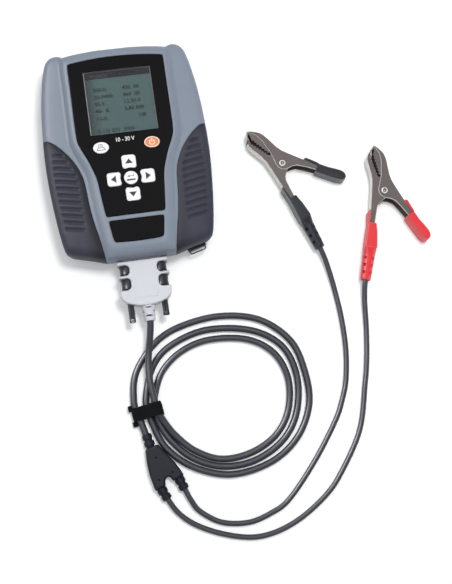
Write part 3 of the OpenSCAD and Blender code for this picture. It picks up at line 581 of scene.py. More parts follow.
fascia_half = [
    (0, 95), (12, 94.8), (24, 94), (36, 92.8), (45.4, 91.4), (46.9, 90.3), (47.5, 88.6), (47.5, 75),
    (47.5, 60), (47.5, 40), (47.5, 26), (47.2, 14), (46.4, 8.4), (43.6, 1), (39.6, -8), (36.3, -17),
    (33.4, -26), (31.8, -35), (30.8, -46), (29.4, -59), (28.7, -65.6), (27.9, -67.6), (26.2, -68.3),
    (14, -68.3), (0, -68.3)]
plate_half = [
    (0, -73), (14, -73), (24.6, -73.1), (26, -73.9), (26.3, -75.6), (25.2, -84), (24, -91.6), (23, -93.5),
    (20.6, -94.4), (10, -95), (0, -95.2)]
grip_edge = [
    (84, 18), (79.6, 17.5), (76, 16.4), (72, 14), (68, 10.6), (64, 6.6), (60, 2), (56.4, -2.8), (53.4, -7.6),
    (50.6, -13), (48.2, -18.6), (46.4, -24.6), (45.2, -31), (44.6, -38), (43.8, -48), (42.6, -60),
    (40.6, -72.5), (38.4, -84), (36.6, -93), (33.4, -113)]
case_loop = flowing(both_halves(case_half), 4, closed=True)
top_loop = flowing(both_halves(top_half), 3, closed=True)
foot_loop = flowing(both_halves(foot_half), 3, closed=True)
fascia_loop = flowing(both_halves(fascia_half), 3, closed=True)
plate_loop = flowing(both_halves(plate_half), 3, closed=True)
fascia_seat = drawn_in(fascia_loop, -0.45)
plate_seat = drawn_in(plate_loop, -0.4)
grip_line = flowing(grip_edge, 4)
grip_lines = [grip_line, grip_line * (-1, 1)]
outside_x, below_y = 95, -114
grip_areas = []
for g in grip_lines:
    beyond = np.sign(g[0, 0]) * outside_x
    grip_areas.append(np.vstack((g, [(beyond, below_y), (beyond, grip_edge[0][1])])))
print("points round the case and the panel:", len(case_loop), len(fascia_loop))


# %% Height of the face
# The grooves, each with its middle and half its length, from the display end down.
GROOVES = [(67.6, 6), (66.4, 8), (65, 9.8), (63.4, 11.8), (63, 12.4), (62.8, 12.4), (62.6, 12.4),
           (62.3, 12.4), (62, 12.4), (61.7, 12.4), (61.4, 12.2), (61, 11.8)]
FIRST_GROOVE, GROOVE_PITCH, GROOVE_SLOPE, GROOVE_HALF, GROOVE_DEEP = 0.6, 6.9, 0.19, 2.7, 1.6
rim_steps = [0, .12, .45, 1, 1.8, 3, 4.6, 6.6]  # distances in from the outline
# Heights of the wing by distance from the outline, of the raised centre by its share of the way up its
# slope, and the most that any height may be by distance from the outline.
WING = (rim_steps + [9, 13, 18, 40], [30, 32, 34, 35.7, 37, 38.3, 39.4, 40.15, 40.65, 41.05, 41.25, 41.35])
CENTRE = ([0, .2, .4, .7, .9, 1], [38.4, 41.1, 43.1, 44.8, 45.65, 45.9])
MOST = ([0, .12, .45, 1, 1.8, 3, 5, 8], [33, 36, 38.4, 40.2, 41.8, 43.5, 45.2, 47])
UNDER, BLEND = 30, 0.35  # the centre's height where there is none, and the softness of its join


def groove_cuts(p):
    """Depth of the cross grooves in the grips. They rise outwards, and their outer ends bend down."""
    cut = np.zeros(len(p))
    x, y = np.abs(p[:, 0]), p[:, 1]
    for i, (middle, half) in enumerate(GROOVES):
        drop = 1.2 * np.clip((x - middle - half + 5) / 5, 0, 1) ** 2
        level = FIRST_GROOVE - GROOVE_PITCH * i + GROOVE_SLOPE * (x - middle) - drop
        off = np.clip(np.abs(y - level) / GROOVE_HALF, 0, 1)
        side = np.clip((half - np.abs(x - middle)) / 4.2, 0, 1)
        cut = np.maximum(cut, GROOVE_DEEP * (0.5 + 0.5 * np.cos(math.pi * off)) * side * (2 - side))
    return cut


def face_height(p):
    """Height of the face over each point: the higher of wing and centre, less seams and grooves."""
    d = distance(p, case_loop)
    wing = np.interp(d, *WING)
    on_top = inside(p, top_loop)
    out = distance(p, top_loop)
    within = distance(p, foot_loop) * np.where(inside(p, foot_loop), 1, -1)
    share = np.where(on_top, 1, np.clip(within / np.maximum(out + within, 1e-6), 0, 1))
    centre = np.interp(share, *CENTRE)
    centre += 0.1 * np.where(on_top, np.clip(out / 2, 0, 1), 0)
    centre = np.where(within <= 0, UNDER, centre)
    z = np.maximum(wing, centre) + BLEND * np.log1p(np.exp(-np.abs(wing - centre) / BLEND)) * (within > 0)
    z = np.minimum(z, np.interp(d, *MOST))
    seam = np.minimum(*(distance(p, g, closed=False) for g in grip_lines))
    z -= 0.6 * np.exp(-(seam / 0.4) ** 2)
    on_grip = inside(p, grip_areas[0]) | inside(p, grip_areas[1])
    z -= np.where(on_grip, groove_cuts(p) + 0.9 * np.exp(-(seam / 3.5) ** 2), 0)
    for seat in (fascia_seat, plate_seat):
        z -= 0.28 * np.clip(1 - distance(p, seat) / 0.55, 0, 1) ** 2
    return z


print("height at the middle of the face:", round(float(face_height(np.zeros((1, 2)))[0]), 2), "mm")


# %% One plan for the cover and both grips
def grid_over(x1, x2, y1, y2, step_x, step_y):
    """Points of a grid over a box."""
    gx, gy = np.meshgrid(np.arange(x1, x2, step_x), np.arange(y1, y2, step_y))
    return np.column_stack((gx.ravel(), gy.ravel()))


def housing_plan():
    """The face's plan as points and triangles: rings at the edges, a fine grid at the grooves."""
    loops = [drawn_in(case_loop, d) for d in rim_steps]
    loops += [drawn_in(seat, -d) for seat in (fascia_seat, plate_seat) for d in (0, .25, .6)]
    lines = []
    for g in grip_lines:
        run = np.gradient(g, axis=0)
        side = np.stack((-run[:, 1], run[:, 0]), 1) / np.linalg.norm(run, axis=1)[:, None]
        lines += [g + side * d for d in (0, -.3, .3, -.8, .8)]
    grid = grid_over(-80, 80.1, -107, 107.1, 1.7, 1.7)
    fine = grid_over(49, 76.3, -81, 9.1, 1.1, 0.6)
    in_fine = (np.abs(np.abs(grid[:, 0]) - 62.6) < 14.4) & (grid[:, 1] > -82) & (grid[:, 1] < 10)
    grid = np.vstack((grid[~in_fine], fine, fine * (-1, 1)))
    clear = distance(grid, case_loop) > rim_steps[-1] + 0.3
    for line, shut in [(fascia_seat, True), (plate_seat, True)] + [(g, False) for g in grip_lines]:
        clear &= distance(grid, line, closed=shut) > 0.95
    grid = grid[clear & inside(grid, case_loop)]
    points = [Vector(p) for p in np.vstack((*loops, *lines, grid))]
    edges, start = edges_along(loops, closed=True)
    edges += edges_along(lines, closed=False, start=start)[0]
    flat, _, faces, *_ = delaunay_2d_cdt(points, edges, [], 0, 1e-5)
    return np.array([(v.x, v.y) for v in flat]), np.array([f for f in faces if len(f) == 3])


plan, plan_faces = housing_plan()
middle = plan[plan_faces].mean(1)
in_case = inside(middle, case_loop)
in_grip = [inside(middle, area) for area in grip_areas]
in_seat = inside(middle, fascia_seat) | inside(middle, plate_seat)
heights = face_height(plan)
print("housing plan:", len(plan), "points,", int(in_case.sum()), "triangles inside")


# %% Walls below the face
def stood_in(p, d):
    """Points of the outline drawn towards its middle, as the wall leans in on its way down."""
    return p * (1 - d / np.array(case_half).max(0))


def with_walls(faces, wall_levels, drop=(0.45, 0.95, 1.5)):
    """Points and faces of a face region, its outer wall and a short skirt along its inner seams.

    wall_levels holds heights and how far in the wall stands there; drop holds depths of the skirt."""
    used, index = np.unique(faces, return_inverse=True)
    faces = index.reshape(-1, 3)
    flat, z = plan[used], heights[used]
    points = [tuple(p) for p in np.column_stack((flat, z))]
    count = {}
    for a, b, c in faces:
        for e in ((a, b), (b, c), (c, a)):
            count[tuple(sorted(e))] = count.get(tuple(sorted(e)), 0) + 1
    rim = [e for e, n in count.items() if n == 1]
    rim_points = sorted({v for e in rim for v in e})
    on_edge = dict(zip(rim_points, distance(flat[rim_points], case_loop) < 0.01))
    faces = [tuple(f) for f in faces]
    above = {v: v for v in rim_points}
    for k, (level, inset) in enumerate(wall_levels):
        below = {}
        for v in rim_points:
            if on_edge[v]:
                spot = (*stood_in(flat[v], inset), min(level, z[v] - 0.2 * (k + 1)))
            else:
                spot = (*flat[v], z[v] - drop[min(k, len(drop) - 1)])
            below[v] = len(points)
            points.append(spot)
        for a, b in rim:
            if above[a] != below[a] or above[b] != below[b]:
                faces.append((above[a], above[b], below[b], below[a]))
        above = below
    return points, faces


front_wall = [(29, 0), (26, 0), (22.5, 0.1), (22.12, 0.45)]
grip_wall = [(28, 0), (24, 0), (19, 0.5), (13, 1.3), (8.4, 2.4), (7.3, 2.9), (7.0, 3.6)]
in_cover = in_case & ~in_grip[0] & ~in_grip[1] & ~in_seat
skin_of("front_cover", with_walls(plan_faces[in_cover], front_wall), "shell", shell_blue)
for side, which, painted_shade in (("right", 0, 0.5), ("left", 1, 0.8)):
    shape = with_walls(plan_faces[in_case & in_grip[which]], grip_wall, drop=(0.3, 0.6, 0.9, 1.2, 1.4, 1.5))
    grip = skin_of(side + "_grip", shape, "grip", grip_rubber)
    # Painted shade: each grip darkens along its seam, where the raised centre's shadow falls, more on the
    # left, and in its grooves.
    spots = np.array([v.co for v in grip.data.vertices]) / MM
    seam = distance(spots[:, :2], grip_lines[which], closed=False)
    reach = np.interp(spots[:, 1], [-110, -70, -20, 15], [15, 9, 8, 6])
    near_seam = np.clip(1.35 - 1.1 * seam / reach, 0, 1)
    in_groove = groove_cuts(spots) / GROOVE_DEEP * np.clip((spots[:, 2] - 36) / 3, 0, 1)
    store(grip, "band", np.clip(painted_shade * near_seam + 0.3 * in_groove, 0, 1))
print("face height", round(float(heights.max()), 2), "mm")

# %% [markdown]
# ## Rear cover
# The rear cover is a shallow tray. Its wall stands back behind the grips, and its edges curve under to
# the flat back, where four rubber feet and four screw wells are. A stack of outlines makes the wall, and
# the same fill as before closes the back around the wells.

# %% Make the rear cover
def well_skin(well, low, high):
    """A screw well's wall and its closed top."""
    points, faces = stacked([[(x, y, z) for x, y in well] for z in (low, high)], closed=False)
    return points, faces + [tuple(range(len(well), 2 * len(well)))]


def rear_cover_shape():
    """The rear cover, in levels from the seam down to the flat back. It stands back behind the grips."""
    near_edge = case_loop * 0.995
    behind_grip = inside(near_edge, grip_areas[0]) | inside(near_edge, grip_areas[1])
    levels = [(21.88, .5), (21.5, .2), (19, .5), (16, .9), (13, 1.3), (7.5, 2.6), (6.85, 2.9), (4, 4.4),
              (2.2, 6.2), (1.3, 7.6), (1.0, 8.6)]
    rings = []
    for z, d in levels:
        back = np.where(behind_grip & (z > 6.9), np.maximum(d, 3.7), d)
        rings.append([(x, y, z) for x, y in stood_in(case_loop, back[:, None])])
    floor, inset = levels[-1]
    wells = [round_loop(3.6, n=28, at=spot) for spot in ((62, 88), (-62, 88), (58, -78), (-58, -78))]
    flat, tris = filled([stood_in(case_loop, inset), *wells])
    back_plate = ([(x, y, floor) for x, y in flat], tris)
    return joined(stacked(rings, closed=False), back_plate, *[well_skin(well, floor, 6.0) for well in wells])


rear = skin_of("rear_cover", rear_cover_shape(), "shell", shell_blue)
print("rear cover:", len(rear.data.polygons), "faces")

# %% [markdown]
# ## Display and key panel
# The black panel is a thin plate with its openings cut all the way through, so the keys really stand in
# their holes and the display lies deeper than the panel. The arrow keys are squares with round corners
# and one side hollowed by a circle about the Enter key, which is what keeps the five keys concentric.

# %% Key outlines
ARROW_R, ENTER_Y = 16.4, -32.0


def arrow_loop(turn, gap=0.0):
    """An arrow key's plan, drawn right of Enter with its hollow side towards it, then turned about it."""
    half, r, hollow = 6.9 + gap, 2.8, 10.3 - gap
    reach = math.acos((ARROW_R - half) / hollow)
    points = []
    for k, (side, end) in enumerate(((1, 1), (-1, 1), (-1, -1), (1, -1))):
        points += arc(side * (half - r), end * (half - r), r, 90 * k, 90 * k + 90, 8)
        if k == 1:
            points += [(-ARROW_R + hollow * math.cos(a), hollow * math.sin(a))
                       for a in np.linspace(reach, -reach, 11)]
    return spun(np.array(points) + (ARROW_R, 0), turn) + (0, ENTER_Y)


key_places = {"key_right": 0, "key_up": 90, "key_left": 180, "key_down": 270}
ovals = {"key_print": (-25, 1.6), "key_power": (25, 1.6)}
window_loop = soft_box(-33.3, 33.3, 14.9, 81.5, 0.8, 4)
print("an arrow key's plan has", len(arrow_loop(0)), "points")


# %% Panel, plate and window
key_gaps = [arrow_loop(turn, 0.2) for turn in key_places.values()]
key_gaps += [round_loop(6.95, at=(0, ENTER_Y))] + [round_loop(7.9, 6.0, at=spot) for spot in ovals.values()]
openings = [window_loop] + key_gaps
panel = slab(fascia_loop, 44.72, 45.9, 0.35, holes=openings, hole_round=0.25)
skin_of("fascia", panel, "panel", panel_gloss)
skin_of("name_plate", slab(plate_loop, 45.12, 46.04, 0.3), "panel", panel_gloss)


def reckoned(tree, operation, first, second):
    """The output of a node that reckons with two numbers."""
    step = tree.nodes.new("ShaderNodeMath")
    step.operation = operation
    return feed(tree, step, {0: first, 1: second}).outputs[0]


def see_through(name, tint, gloss):
    """A clear sheet that lets lamp light through and still mirrors a little."""
    made, tree = empty_material(name)
    clear = add_node(tree, "BsdfTransparent", {"Color": tint})
    mirror = add_node(tree, "BsdfGlossy", {"Roughness": 0.08})
    share = reckoned(tree, "MULTIPLY", add_node(tree, "Fresnel", {"IOR": 1.45}).outputs[0], gloss)
    blend = add_node(tree, "MixShader", {0: share, 1: clear.outputs[0], 2: mirror.outputs[0]})
    add_node(tree, "OutputMaterial", {"Surface": blend.outputs[0]})
    return made


dress(node["display_window"], see_through("clear_sheet", (0.93, 0.96, 0.96, 1), 0.45))
print("panel openings:", len(openings))

# %% [markdown]
# ## Printing and the display
# Marks on the panel and the keys are ink. Each is a flat shape a few hundredths of a millimetre thick, so
# it can be seen from any side and never flickers in the surface it lies on. Lettering comes from a font's
# curves, turned into a mesh. The display's ground is a row of strips, which lets painted shade darken it
# towards the left, and thin bars beside it are a painted highlight on the cut edge of the window, pale at
# the left and dimmer at the top and right.

# %% Printing
def bar(a, b, width):
    """A straight bar from a to b, square at its ends."""
    a, b = np.array(a, float), np.array(b, float)
    run = (b - a) / np.linalg.norm(b - a) * width / 2
    side = np.array((-run[1], run[0]))
    a, b = a - run, b + run
    return np.array((a - side, b - side, b + side, a + side))


def lettering(text, x, y, size, bold=0.0, wide=1.0):
    """Points and faces of plain lettering, which starts at x, y and lies at height 0."""
    curve = bpy.data.curves.new("lettering", "FONT")
    curve.body, curve.size, curve.offset, curve.extrude, curve.resolution_u = text, size, bold, 0.02, 3
    held = linked("lettering", curve)
    mesh = held.evaluated_get(bpy.context.evaluated_depsgraph_get()).to_mesh()
    shape = ([(x + v.co.x * wide, y + v.co.y, v.co.z) for v in mesh.vertices],
             [tuple(p.vertices) for p in mesh.polygons])
    bpy.data.objects.remove(held)
    bpy.data.curves.remove(curve)
    return shape


def lettered(name, lines, z, ink):
    """Lines of lettering with their tops at z."""
    points, faces = joined(*[lettering(*line) for line in lines])
    return dress(new_piece(name, [(p[0], p[1], p[2] + z - 0.02) for p in points], faces), ink)


def path(points, weight):
    """Bars from each point to the next."""
    return [bar(a, b, weight) for a, b in zip(points, points[1:])]


def printed(name, shapes, z, ink, body="tester", thick=0.05):
    """Flat marks with their tops at z."""
    made = new_piece(name, *joined(*[slab(s, z - thick, z, 0) for s in shapes]), body=body)
    return dress(made, ink)


print("a short bar's corners:", bar((0, 0), (4, 0), 1).tolist())


# %% What the display shows
lcd_ink = finish("lcd_ink", (8, 14, 16), 0.5, 0.08, 90, shine=0.1)
lcd_ground = finish("lcd_ground", (80, 99, 99), 0.5, 0.05, 25, shine=0.2)
# Painted shade that darkens the display's ground towards its left edge.
shaded_by(lcd_ground, "painted_shade", (40, 40, 50))
lcd_band = finish("lcd_band", (24, 20, 32), 0.5, 0.03, 40, shine=0.1)
lcd_band_ink = finish("lcd_band_ink", (58, 56, 74), 0.5, 0.1, 90)
window_highlight = finish("window_highlight", (176, 172, 170), 0.35, 0.15, 200)
window_highlight_dim = finish("window_highlight_dim", (96, 92, 92), 0.35, 0.2, 200)
GLASS = 42.93
stops = np.concatenate((np.linspace(-33.2, -19, 13), (33.2,)))
strips = [soft_box(a, b, 15, 81.4, 0.001, 2) for a, b in zip(stops, stops[1:])]
ground = printed("display_ground", strips, GLASS - 0.02, lcd_ground)
store(ground, "painted_shade", [0.95 * max(0, (-20 - v.co.x / MM) / 13.2) ** 1.2 for v in ground.data.vertices])
printed("display_band", [np.array([(-32.6, 74), (32.6, 74), (32.6, 80.8), (-32.6, 80.8)])], GLASS, lcd_band)
lettered("display_band_marks", [("0120-05", -27, 75.3, 5.2, 0.05)], GLASS + 0.03, lcd_band_ink)
rows = [(60.4, "000-0:", "450  00"), (53.1, "20-3400:", "460  00"), (45.8, "30-5:", "12.50 0"),
        (38.4, "40-  8:", "5.80 000"), (30.2, "15-0:", "        100")]
letter_size = 5.6
lines = [("0-10) 200  3000", -26, 17.4, letter_size, 0.06)]
for y, left, right in rows:
    lines += [(left, -26, y, letter_size, 0.1), (right, 3, y, letter_size, 0.12)]
lettered("display_marks", lines, GLASS + 0.02, lcd_ink)
# Painted highlight on the window's cut edge: pale at the left, dimmer at the top and right.
for name, a, b, weight, ink in (("rim_left", (-33.05, 15.2), (-33.05, 81.2), 0.42, window_highlight),
                                ("rim_top", (-33.0, 81.25), (33.0, 81.25), 0.36, window_highlight_dim),
                                ("rim_right", (33.0, 15.2), (33.0, 81.2), 0.42, window_highlight_dim)):
    printed("display_" + name, [bar(a, b, weight)], 44.8, ink, thick=1.0)
lettered("range_mark", [("10 - 30 V", -10.4, 5.9, 6.0, 0.07, 0.84)], 45.95, ink_white)
print("display rows:", len(rows) + 2)

# %% [markdown]
# ## Keys
# The seven keys are moulded caps that stand a little above the panel. Each is one slab with a generous
# rounding, on a body of its own, because it moves down when pressed, and its mark rides on the same body.

# %% Keys and their marks
KEY_FOOT, KEY_TOP, MARK_TOP = 40, 46.5, 46.53


def key_cap(name, outline, rounding, colour="white"):
    """A key cap over its outline."""
    cap = slab(outline, KEY_FOOT, KEY_TOP, rounding, steps=5)
    plastic = {"white": key_white, "orange": key_orange}[colour]
    skin_of(name, cap, "key_" + colour, plastic, body=name, crease=60)


for name, turn in key_places.items():
    key_cap(name, arrow_loop(turn), 0.8)
    head = spun(np.array([(-1.9, -3.8), (3.0, 0), (-1.9, 3.8)]) + (ARROW_R, 0), turn) + (0, ENTER_Y)
    printed(name + "_mark", [head], MARK_TOP, ink_dark, name)
key_cap("key_enter", round_loop(6.75, at=(0, ENTER_Y)), 0.7)
bent_arrow = path([(3, -28.7), (3, -30.5), (-1.6, -30.5)], 0.5)
bent_arrow += [np.array([(-3.4, -30.5), (-1.2, -31.5), (-1.2, -29.5)]),
               bar((-3.4, -34.2), (3.4, -34.2), 1.5)]
printed("key_enter_mark", bent_arrow, MARK_TOP, ink_dark, "key_enter")
for name, spot in ovals.items():
    key_cap(name, round_loop(7.7, 5.8, at=spot), 0.7, "orange" if name == "key_power" else "white")
printer_lines = [  # body, its foot, the paper and two lines on it, round the middle of the key
    ([(-4, -2.6), (-2.8, -0.2), (2.8, -0.2), (4, -2.6)], 0.45), ([(-4, -2.6), (4, -2.6)], 0.6),
    ([(-2.1, -0.2), (-2.1, 3.2), (1.5, 3.2), (1.9, -0.2)], 0.4),
    ([(-1.2, 2), (0.8, 2)], 0.35), ([(-1.2, 1), (0.8, 1)], 0.35)]
x, y = ovals["key_print"]
printer = [one for run, weight in printer_lines for one in path([(x + a, y + b) for a, b in run], weight)]
printed("key_print_mark", printer, MARK_TOP, ink_dark, "key_print")
x, y = ovals["key_power"]
pale_rim = finish("pale_rim", (255, 240, 226), 0.4, 0.03)
sweep = np.array(arc(0, 0, 1, 125, 415, 25))
ring = np.vstack((2.95 * sweep, 2.05 * sweep[::-1])) + (x, y - 0.3)
printed("key_power_mark", [ring, bar((x, y + 0.4), (x, y + 3.1), 0.95)], MARK_TOP, pale_rim, "key_power")
rim = slab(round_loop(7.45, 5.55, at=(x, y)), 46, 46.56, 0.12, holes=[round_loop(6.55, 4.65, at=(x, y))])
dress(new_piece("key_power_rim", *rim, body="key_power"), pale_rim)
print("keys:", len(key_places) + len(ovals) + 1)

# %% [markdown]
# ## Connector hood
# Two grey halves clamp the connector, and each thumbscrew lies in a bore between them. Its knobs show in
# finger windows that are open at the side. The hood's own outline and its windows are one closed loop, so
# one rounded edge runs round everything. The upper half has its large rounding above and the lower half
# below, and the upper one has a low raised field as well.

# %% Hood outline
HOOD_Y, SCREW_X, PLUG_Z = -109.3, 16.65, 20.0
windows = [(-14.8, 10.4), (-29.2, 11.8)]


def hood_loop():
    """The plan of the hood, window recesses included."""
    right = [(0, -0.7), (10, -0.7), (24.2, -0.7)] + arc(24.2, -1.5, 0.8, 80, 0, 3)
    for low, length in windows:
        top = low + length
        right += arc(24.5, top + 0.5, 0.5, 0, -90, 3) + arc(17.5, top - 4, 4, 90, 180)
        right += arc(17.5, low + 4, 4, 180, 270) + arc(24.5, low - 0.5, 0.5, 90, 0, 3)
    curve = flowing([(25, -30), (24.8, -34), (23.7, -37.4), (21.6, -40.2), (18.6, -42.2), (14, -44),
                     (9, -45.3), (4, -46), (0, -46.1)], 3)
    right += [tuple(p) for p in curve[1:]]
    left = [(-x, y) for x, y in reversed(right) if x > 0.01]
    return ccw(np.array(right + left)) + (0, HOOD_Y)


outline = hood_loop()
field = slab(soft_box(-11.9, 11.9, HOOD_Y - 38.6, HOOD_Y - 2.4, 1.0), 28.0, 28.45, 0.3, steps=2)
upper = joined(slab(outline, PLUG_Z + 0.03, 28.15, 1.5, 0.12, steps=5), field)
lower = slab(drawn_in(outline, 0.25), 11.8, PLUG_Z - 0.03, 0.12, 2.2, steps=5)
skin_of("hood_upper", upper, "hood", hood_grey, crease=45)
skin_of("hood_lower", lower, "hood", hood_grey, crease=45)
print("hood outline:", len(outline), "points")

# %% [markdown]
# ## Thumbscrews
# A thumbscrew is one turned rod: a thin tip at the plug, threaded on the real one, two waisted knobs that
# show in the finger windows, and a fluted head beyond the hood with a slot for a screwdriver. A profile
# turned about the axis makes each of them, and the flutes are a ripple of the radius.

# %% Thumbscrews
def thumbscrew_shape(side, head_end):
    """A thumbscrew along its bore. side is -1 or 1, and head_end is how far it reaches from the plug."""
    at = (side * SCREW_X, HOOD_Y, PLUG_Z)

    def fluted(a, r, h):
        return r - (0.75 * (0.5 + 0.5 * math.cos(8 * a)) ** 2 if 41.5 < h < head_end - 2.2 and r > 3 else 0)

    barrel = [(0, 0), (3.2, 0.05), (3.2, 41), (3.2, 41.6)]
    barrel += [(3.2, h) for h in np.linspace(42, head_end - 2.6, 10)]
    barrel += [(3.2, head_end - 1.9), (3.15, head_end - 0.5), (2.9, head_end - 0.12), (2.5, head_end),
               (0, head_end)]
    tip = [(0, -10.6), (1.2, -10.55), (1.4, -10.2), (1.4, 0.2), (0, 0.2)]
    parts = [turned(barrel, 60, at, "-y", fluted), turned(tip, 24, at, "-y")]
    for low, length in windows:
        top, end, half = -low - length + 0.3, -low - 0.3, length / 2
        knob = [(0, top), (6.3, top + 0.02), (6.85, top + 0.35), (7.0, top + 0.9)]
        knob += [(6.2 + 0.8 * ((h - top) / (half - 0.3) - 1) ** 2, h)
                 for h in np.linspace(top + 1.4, end - 1.4, 9)]
        knob += [(7.0, end - 0.9), (6.85, end - 0.35), (6.3, end - 0.02), (0, end)]
        parts.append(turned(knob, 64, at, "-y"))
    return joined(*parts)


slot_tone = finish("slot_tone", (196, 190, 184), 0.5, 0.1)
for name, side, head_end, half, deep in (("thumbscrew_left", -1, 60.6, 1.3, 3.05),
                                         ("thumbscrew_right", 1, 57.3, 3.05, 0.5)):
    skin_of(name, thumbscrew_shape(side, head_end), "screw_black", screw_black, body=name)
    x, y = side * SCREW_X, HOOD_Y - head_end
    nick = slab(soft_box(x - half, x + half, y - 0.03, y + 3, 0.01, 2), PLUG_Z - deep, PLUG_Z + deep, 0)
    dress(new_piece(name + "_slot", *nick, body=name), slot_tone)
    print(name, "reaches", head_end, "mm from the plug")

# %% [markdown]
# ## Boot
# The boot is a soft cone that keeps the cord from kinking where it leaves the hood. It bends because it
# has three pairs of slits, each pair a quarter turn from the next. They are made in the turned profile
# itself, by pulling the radius in over part of a turn, and their floors get a dark finish, since little
# light reaches them.

# %% Boot
BOOT_Y, SLIT_WIDE = HOOD_Y - 46.15, 1.3
SLITS = [(1.3, 90, 29), (5.3, 0, 42), (9.4, 90, 33)]  # each one's place, direction and half its sweep


def slit(a, r, h):
    """The radius of the boot, smaller in its slits."""
    for at, first, reach in SLITS:
        near = min(abs(math.degrees(a) - first - k) for k in (-180, 0, 180, 360))
        if at <= h <= at + SLIT_WIDE and near < reach:
            return 4.0
    return r


heights = [0, 0.6, 1.28, 1.3, 1.95, 2.6, 2.62, 3.8, 5.28, 5.3, 5.95, 6.6, 6.62, 7.6, 9.38, 9.4, 10.05, 10.7,
           10.72, 12, 13.4]
profile = [(3.3, -0.3)] + [(7.1 - 1.9 * h / 15, h) for h in heights]
profile += [(5.3, 14.2), (5.15, 14.7), (4.8, 14.95), (4.3, 15), (3.4, 14.9), (3.36, 14.2)]
neck = turned([(3.36, -8.9), (4.3, -8.9), (4.3, -0.2), (3.4, -0.2)], 48, (0, BOOT_Y, PLUG_Z), "-y")
cone = turned(profile, 96, (0, BOOT_Y, PLUG_Z), "-y", slit)
slit_dark = finish("slit_dark", (40, 40, 46), 0.8, 0.1)
boot = skin_of("cable_boot", joined(cone, neck), "hood", hood_grey, slit_dark, crease=32)
for face in boot.data.polygons:
    x, y, z = face.center / MM
    by_slit = any(at - 0.1 < BOOT_Y - y < at + SLIT_WIDE + 0.1 for at, _, _ in SLITS)
    if by_slit and math.hypot(x, z - PLUG_Z) < 4.9:
        face.material_index = 1
print("boot faces in slits:", sum(face.material_index for face in boot.data.polygons))

# %% [markdown]
# ## Strap loop
# The strap loop is bent wire in a small lug. A round section is carried along a smooth line, and each ring
# takes over the direction of the one before it, so the wire doesn't twist in its bends.

# %% A round wire along a line
WIRE_SIDES = 14


def wire(line, r):
    """A round wire of radius r along the line."""
    line = np.array(line, float)
    run = np.gradient(line, axis=0)
    run /= np.linalg.norm(run, axis=1)[:, None]
    side = np.cross(run[0], (0.03, 0.02, 1))
    turns = [2 * math.pi * k / WIRE_SIDES for k in range(WIRE_SIDES)]
    rings = []
    for p, t in zip(line, run):
        side = side - t * (side @ t)
        side /= np.linalg.norm(side)
        up = np.cross(side, t)
        rings.append([p + r * (math.cos(a) * side + math.sin(a) * up) for a in turns])
    return stacked(rings)


lug = slab(soft_box(-9.4, 9.4, -1.7, 2.1, 0.7), -2.6, 2.6, 0.7, 0.7)
half_bend = [(3, -4.25), (6.4, -4.2), (7.6, -3.8), (8, -2.6), (8, -1.2)]
bend = flowing([(-x, y, 0) for x, y in reversed(half_bend)] + [(x, y, 0) for x, y in half_bend], 5)
skin_of("strap_loop", placed(joined(lug, wire(bend, 0.62)), 56, -101.9, 15.5, 13), "loop", loop_black)
print("strap loop:", len(bend), "rings of wire")

# %% [markdown]
# ## Tie
# The tie is one band of hook-and-loop tape. It sags over four strands of cord, so its outline is drawn
# round them, seen along the cords. Nearly two thousand tiny tufts of pile stand on it and give it a soft
# edge that no smooth band has. They are drawn at random, from a fixed seed, so every run makes the same.

# %% Tie
HALF_BAND, HALF_THICK, TUFT_HALF = 6.5, 0.62, 0.1
TUFT_FACES = [(0, 1, 4), (1, 2, 4), (2, 3, 4), (3, 0, 4), (3, 2, 1, 0)]
band_line = flowing([
    (-13.9, 4), (-13.9, 7), (-12.6, 8.9), (-9, 9.1), (-5.7, 9.2), (0.2, 12.1), (4, 14.4), (6.6, 15.7),
    (9.4, 15.9), (12, 15.6), (14.3, 13.6), (15.2, 9.6), (15.2, 5), (14.9, 1.3), (12.5, .65), (4, .62),
    (-5, .62), (-12, .62), (-13.7, 1.2)], 6, closed=True)  # x across the cords and height


def band_shape(normals):
    """The bare band: rows of points over its inner side, then back over its outer side."""
    n = len(band_line)
    wave = 0.3 * np.sin(np.arange(n) * 0.7)
    across = np.linspace(-HALF_BAND, HALF_BAND, 9)
    rows = []
    for face_side, order in ((-1, across), (1, across[::-1])):
        for y in order:
            thick = HALF_THICK - 0.12 * (abs(y) / HALF_BAND) ** 4
            ring = band_line + normals * (face_side * thick + wave * 0.3)[:, None]
            rows.append([(x, y + 0.3 * math.sin(k * 0.55 + y), max(0.05, z))
                         for k, (x, z) in enumerate(ring)])
    points, faces = stacked(rows, closed=False)
    return points, faces + between_rings(n, (len(rows) - 1) * n, 0)


def tufts(normals):
    """Tiny spikes of pile on the band, apart from its lowest part, which lies on the table."""
    rng = np.random.default_rng(4)
    pile = []
    for _ in range(2600):
        k = rng.integers(0, len(band_line))
        y = rng.uniform(-HALF_BAND, HALF_BAND)
        x, z = band_line[k] - normals[k] * 0.55
        if z < 2.2:
            continue
        lean = rng.uniform(-0.5, 0.5, 2)
        length = rng.uniform(0.3, 0.8)
        foot = np.array((x, y, z))
        tip = foot + np.array((-normals[k][0], lean[0], -normals[k][1])) * length + (lean[1] * 0.3, 0, 0)
        corners = [foot + (side * TUFT_HALF, end * TUFT_HALF, 0)
                   for side, end in ((-1, -1), (1, -1), (1, 1), (-1, 1))]
        pile.append((corners + [tip], TUFT_FACES))
    return pile


tabs = [slab(soft_box(-17, -12.3, 3.8, 9.8, 0.8), 4.9, 6.5, 0.4, 0.4),
        slab(soft_box(-16, -10.8, -11.4, -6.2, 0.8), 3.7, 5.1, 0.4, 0.4),
        slab(soft_box(-0.5, 3.2, -9.3, -6.2, 0.6), 0.25, 1.1, 0.3, 0.2)]
band_normals = side_normals(band_line)
pile = tufts(band_normals)
shape = placed(joined(band_shape(band_normals), *tabs, *pile), -14.8, -256, 7)
tie = skin_of("cord_tie", shape, "tie", pile_black, crease=60)
print("tie:", len(pile), "tufts,", len(tie.data.polygons), "faces")
